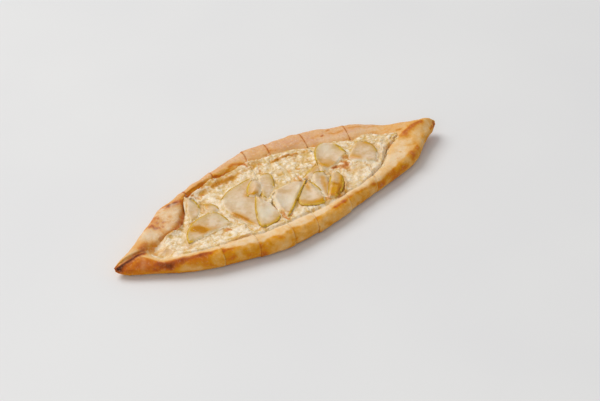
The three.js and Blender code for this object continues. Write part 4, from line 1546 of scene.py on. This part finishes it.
def colour_pear(pear, nearest, skinned, look):
    """Keeps how much skin, honey, browning, painted highlight and clear edge each point of a slice has.
    """
    points = pear.points
    width = look.skin_width / MM * (1 + SKIN_UNEVEN * rough(points, size=6, seed=12))
    wobble = 1 + PEAR_WOBBLE * rough(points, size=5, seed=13)
    pear.keep("skin", sharing(width - nearest, -SKIN_SOFTNESS, SKIN_SOFTNESS) * skinned)
    pear.keep("by_skin", np.exp(-nearest / SKIN_TINGE) * skinned)
    pear.keep("thin", beside(nearest, FADE_WIDTH) * (1 - skinned))
    for name, marks in (("honey", GOLDEN), ("browning", TOASTED), ("white", PEAR_HIGHLIGHTS)):
        pear.keep(name, marked(points[:, :2], marks, wobble))


def lay_pear(number, look, ground, material):
    """One pear slice: its edges drooped onto the ground below, and skin along the arcs that keep it."""
    node = f"pear_slice_{number}"
    piece = smooth_copy(node, f"glazed_pear_{number}", PEAR_ROUNDING, at_a_rim)
    pear = Surface(piece)
    points = pear.points
    nearest = from_the_rim(pear)
    skinned = by_the_skin(number, points)
    colour_pear(pear, nearest, skinned, look)
    flat = points * IN_PLAN
    waves = (rough(flat, size=6, seed=WAVE_SEED + number), rough(flat, size=2.8, seed=34))
    wave = look.wave_height / MM * added(WAVE_SHARES, waves)
    thinner = (TAPER - SKIN_THICKER * skinned) * beside(nearest, TAPER_WIDTH)
    thinner *= sharing(pear.normals[:, 2], *UPPER_FACING)
    underside = without_holes(height_plan([piece.data], rising=True), UNDERSIDE_REACH)
    room = read_plan(underside, points) + wave - read_plan(ground, points) - DROOP_GAP
    droop = np.clip(room, 0, DEEPEST_DROOP) * beside(nearest, DROOP_WIDTH)
    droop += EDGE_MELTED * (1 - skinned) * beside(nearest, TAPER_WIDTH)
    pear.move(np.outer(wave - thinner - droop, UPWARD))
    dress(piece, node, material)
    return piece


def pour_puddle(line, width, depth, ground):
    """The places of one puddle of honey, its top and underside there, and how deep it is from 0 to 1."""
    line = np.array(line, float)
    low = line.min(axis=0) - PUDDLE_MARGIN * width
    high = line.max(axis=0) + PUDDLE_MARGIN * width
    columns, rows = (np.ceil((high - low) / PUDDLE_STEP)).astype(int) + 1
    steps = [(i, j) for j in range(rows) for i in range(columns)]
    grid = low + PUDDLE_STEP * np.array(steps)
    uneven = rough(np.c_[grid, 0 * grid[:, 0]], size=3.5, seed=15)
    reach = distance_to(grid, line) / width * (1 + PUDDLE_WOBBLE * uneven)
    heights = np.array([surface_height(ground, x, y) for x, y in grid]).reshape(rows, columns)
    padded = np.pad(heights, 1, mode="edge")
    parts = [padded[dj : dj + rows, di : di + columns] for dj in range(3) for di in range(3)]
    level = ((np.mean(parts, axis=0) + np.max(parts, axis=0)) / 2).ravel()
    full = np.clip(1 - reach**2, PUDDLE_RIM, 1)
    top = level + depth * full + PUDDLE_RISE
    return grid, top, top - PUDDLE_THICKNESS - depth * np.maximum(full, 0), full, columns


def surface_height(ground, x, y):
    """How high the topping lies at a place in plan, in mm."""
    hit = ground.ray_cast(Vector((x * MM, y * MM, PLAN_SKY * MM)), -Vector(UPWARD))[0]
    return hit.z / MM if hit else BELOW


def closed_lens(shape, layer, grid, top, bottom, full, columns):
    """Adds one puddle to a mesh as a closed lens, which keeps how deep it is at each point."""
    corners = {}

    def corner(side, heights, place):
        key = (side, place)
        if key not in corners:
            x, y = grid[place]
            corners[key] = shape.verts.new((x * MM, y * MM, heights[place] * MM))
            corners[key][layer] = max(full[place], 0)
        return corners[key]

    sides = set()
    for place in range(len(grid) - columns):
        loop = [place, place + 1, place + 1 + columns, place + columns]
        if place % columns == columns - 1 or min(full[k] for k in loop) <= PUDDLE_END:
            continue
        shape.faces.new([corner(1, top, k) for k in loop])
        shape.faces.new([corner(0, bottom, k) for k in reversed(loop)])
        for a, b in zip(loop, loop[1:] + loop[:1]):
            if (b, a) in sides:
                sides.remove((b, a))
            else:
                sides.add((a, b))
    for a, b in sorted(sides):
        shape.faces.new([corners[1, b], corners[1, a], corners[0, a], corners[0, b]])


def run_honey(toppings, material):
    """Every puddle of honey, as one piece of closed lenses."""
    ground = one_tree([piece.data for piece in toppings])
    shape = bmesh.new()
    layer = shape.verts.layers.float.new("full")
    for line, width, depth in PUDDLES:
        closed_lens(shape, layer, *pour_puddle(line, width, depth, ground))
    mesh = bpy.data.meshes.new("honey_puddles")
    shape.to_mesh(mesh)
    shape.free()
    mesh.polygons.foreach_set("use_smooth", [True] * len(mesh.polygons))
    mesh.materials.append(material)
    piece = bpy.data.objects.new("honey_puddles", mesh)
    bpy.context.scene.collection.objects.link(piece)
    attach(piece, "root")


class PIDE_OT_crust(bpy.types.Operator):
    """Bakes the seven slices of the bread"""

    bl_idname = "pide.crust"
    bl_label = "Crust"

    def execute(self, context):
        look = context.scene.pide_crust
        material = crust_finish(look)
        for number in range(1, SLICES + 1):
            bake_slice(number, look, material)
        return {"FINISHED"}


class PIDE_OT_cheese(bpy.types.Operator):
    """Melts the cheese of the seven slices"""

    bl_idname = "pide.cheese"
    bl_label = "Cheese"

    def execute(self, context):
        look = context.scene.pide_cheese
        crust = [piece.data for piece in pieces_named("baked_crust_")]
        dough = without_holes(height_plan(crust, rising=False))
        brim = widened(dough, BRIM_REACH, BRIM_SLOPE)
        slices = [frame["nodes"][f"pear_slice_{number}"].data for number in range(1, PEAR_SLICES + 1)]
        pears = widened(height_plan(slices, rising=True), CLING_REACH, CLING_SLOPE, CLING_GAP)
        material = cheese_finish(look)
        for number in range(1, SLICES + 1):
            melt_slice(number, look, dough, brim, pears, material)
        return {"FINISHED"}


class PIDE_OT_pears(bpy.types.Operator):
    """Lays the fourteen pear slices"""

    bl_idname = "pide.pears"
    bl_label = "Pear slices"

    def execute(self, context):
        look = context.scene.pide_pears
        material = pear_finish(look, context.scene.pide_cheese)
        cheese = [piece.data for piece in pieces_named("melted_cheese_")]
        ground = without_holes(height_plan(cheese, rising=False))
        for number in range(1, PEAR_SLICES + 1):
            piece = lay_pear(number, look, ground, material)
            ground = np.maximum(ground, height_plan([piece.data], rising=False))
        return {"FINISHED"}


class PIDE_OT_honey(bpy.types.Operator):
    """Pours honey over the pears and the cheese"""

    bl_idname = "pide.honey"
    bl_label = "Honey"

    def execute(self, context):
        toppings = pieces_named(("melted_cheese_", "glazed_pear_"))
        run_honey(toppings, honey_finish(context.scene.pide_pears))
        return {"FINISHED"}


def soft_light(name, place, size, power, colour):
    """A square lamp that shines at the middle of the pide."""
    lamp = bpy.data.lights.new(name, "AREA")
    lamp.size = size
    lamp.energy = power
    lamp.color = colour
    holder = bpy.data.objects.new(name, lamp)
    holder.location = place
    holder.rotation_euler = (-Vector(place)).to_track_quat("-Z", "Y").to_euler()
    bpy.context.scene.collection.objects.link(holder)


class PIDE_OT_stage(bpy.types.Operator):
    """Sets the pale floor, the soft light and the camera"""

    bl_idname = "pide.stage"
    bl_label = "Stage"

    # Places and sizes in metres, with the sensor in mm.
    CAMERA_PLACE = (-0.5239, -0.7492, 0.7834)
    CAMERA_AIM = (0.445303, 0.613714, -0.651966)
    CAMERA_REACH = 20
    SENSOR_WIDTH = 36
    WINDOW_PLACE = (-0.9, 2.6, 3.7)
    WINDOW_SIZE = 3.0
    WINDOW_COLOUR = (1.0, 0.99, 0.97)
    FILL_PLACE = (-1.2, -0.9, 1.3)
    FILL_SIZE = 1.2
    WHITE = (1.0, 1.0, 1.0)
    FLOOR_HALF = 4.0

    def execute(self, context):
        look = context.scene.pide_stage
        self.lay_floor(context, look)
        soft_light("window", self.WINDOW_PLACE, self.WINDOW_SIZE, look.window_power, self.WINDOW_COLOUR)
        soft_light("fill", self.FILL_PLACE, self.FILL_SIZE, look.fill_power, self.WHITE)
        world = bpy.data.worlds.new("soft_sky")
        world.use_nodes = True
        sky = world.node_tree.nodes["Background"]
        sky.inputs["Color"].default_value = opaque(self.WHITE)
        sky.inputs["Strength"].default_value = look.sky
        context.scene.world = world
        context.scene.view_settings.view_transform = "Standard"
        self.set_camera(context, look)
        return {"FINISHED"}

    def lay_floor(self, context, look):
        """The floor that the pide lies on."""
        half = self.FLOOR_HALF
        mesh = bpy.data.meshes.new("pale_floor")
        corners = [(-half, -half, 0), (half, -half, 0), (half, half, 0), (-half, half, 0)]
        mesh.from_pydata(corners, [], [(0, 1, 2, 3)])
        mesh.materials.append(floor_finish(look))
        floor = bpy.data.objects.new("pale_floor", mesh)
        context.scene.collection.objects.link(floor)

    def set_camera(self, context, look):
        """The camera that the pide is seen through."""
        camera = bpy.data.objects.new("camera", bpy.data.cameras.new("camera"))
        camera.data.lens = look.lens
        camera.data.sensor_width = self.SENSOR_WIDTH
        camera.data.clip_end = self.CAMERA_REACH
        camera.location = self.CAMERA_PLACE
        camera.rotation_euler = Vector(self.CAMERA_AIM).to_track_quat("-Z", "Y").to_euler()
        context.scene.collection.objects.link(camera)
        context.scene.camera = camera


class PIDE_PT_panel(bpy.types.Panel):
    """The steps that dress the pide, and its sizes and colours"""

    bl_label = "Pide"
    bl_idname = "PIDE_PT_panel"
    bl_space_type = "VIEW_3D"
    bl_region_type = "UI"
    bl_category = "Pide"

    def draw(self, context):
        for operator in OPERATORS:
            self.layout.operator(operator.bl_idname, text=operator.bl_label)
        for name, group in GROUPS.items():
            box = self.layout.box()
            for field in group.__annotations__:
                box.prop(getattr(context.scene, name), field)


OPERATORS = (PIDE_OT_crust, PIDE_OT_cheese, PIDE_OT_pears, PIDE_OT_honey, PIDE_OT_stage)
GROUPS = {
    "pide_crust": CrustLook,
    "pide_cheese": CheeseLook,
    "pide_pears": PearLook,
    "pide_stage": StageLook,
}


def register():
    for group in GROUPS.values():
        bpy.utils.register_class(group)
    for name, group in GROUPS.items():
        setattr(bpy.types.Scene, name, PointerProperty(type=group))
    for kind in (*OPERATORS, PIDE_PT_panel):
        bpy.utils.register_class(kind)


def unregister():
    for kind in (PIDE_PT_panel, *reversed(OPERATORS)):
        bpy.utils.unregister_class(kind)
    for name in GROUPS:
        delattr(bpy.types.Scene, name)
    for group in reversed(GROUPS.values()):
        bpy.utils.unregister_class(group)


def main():
    register()
    bpy.ops.pide.crust()
    bpy.ops.pide.cheese()
    bpy.ops.pide.pears()
    bpy.ops.pide.honey()
    bpy.ops.pide.stage()


if __name__ == "__main__":
    main()
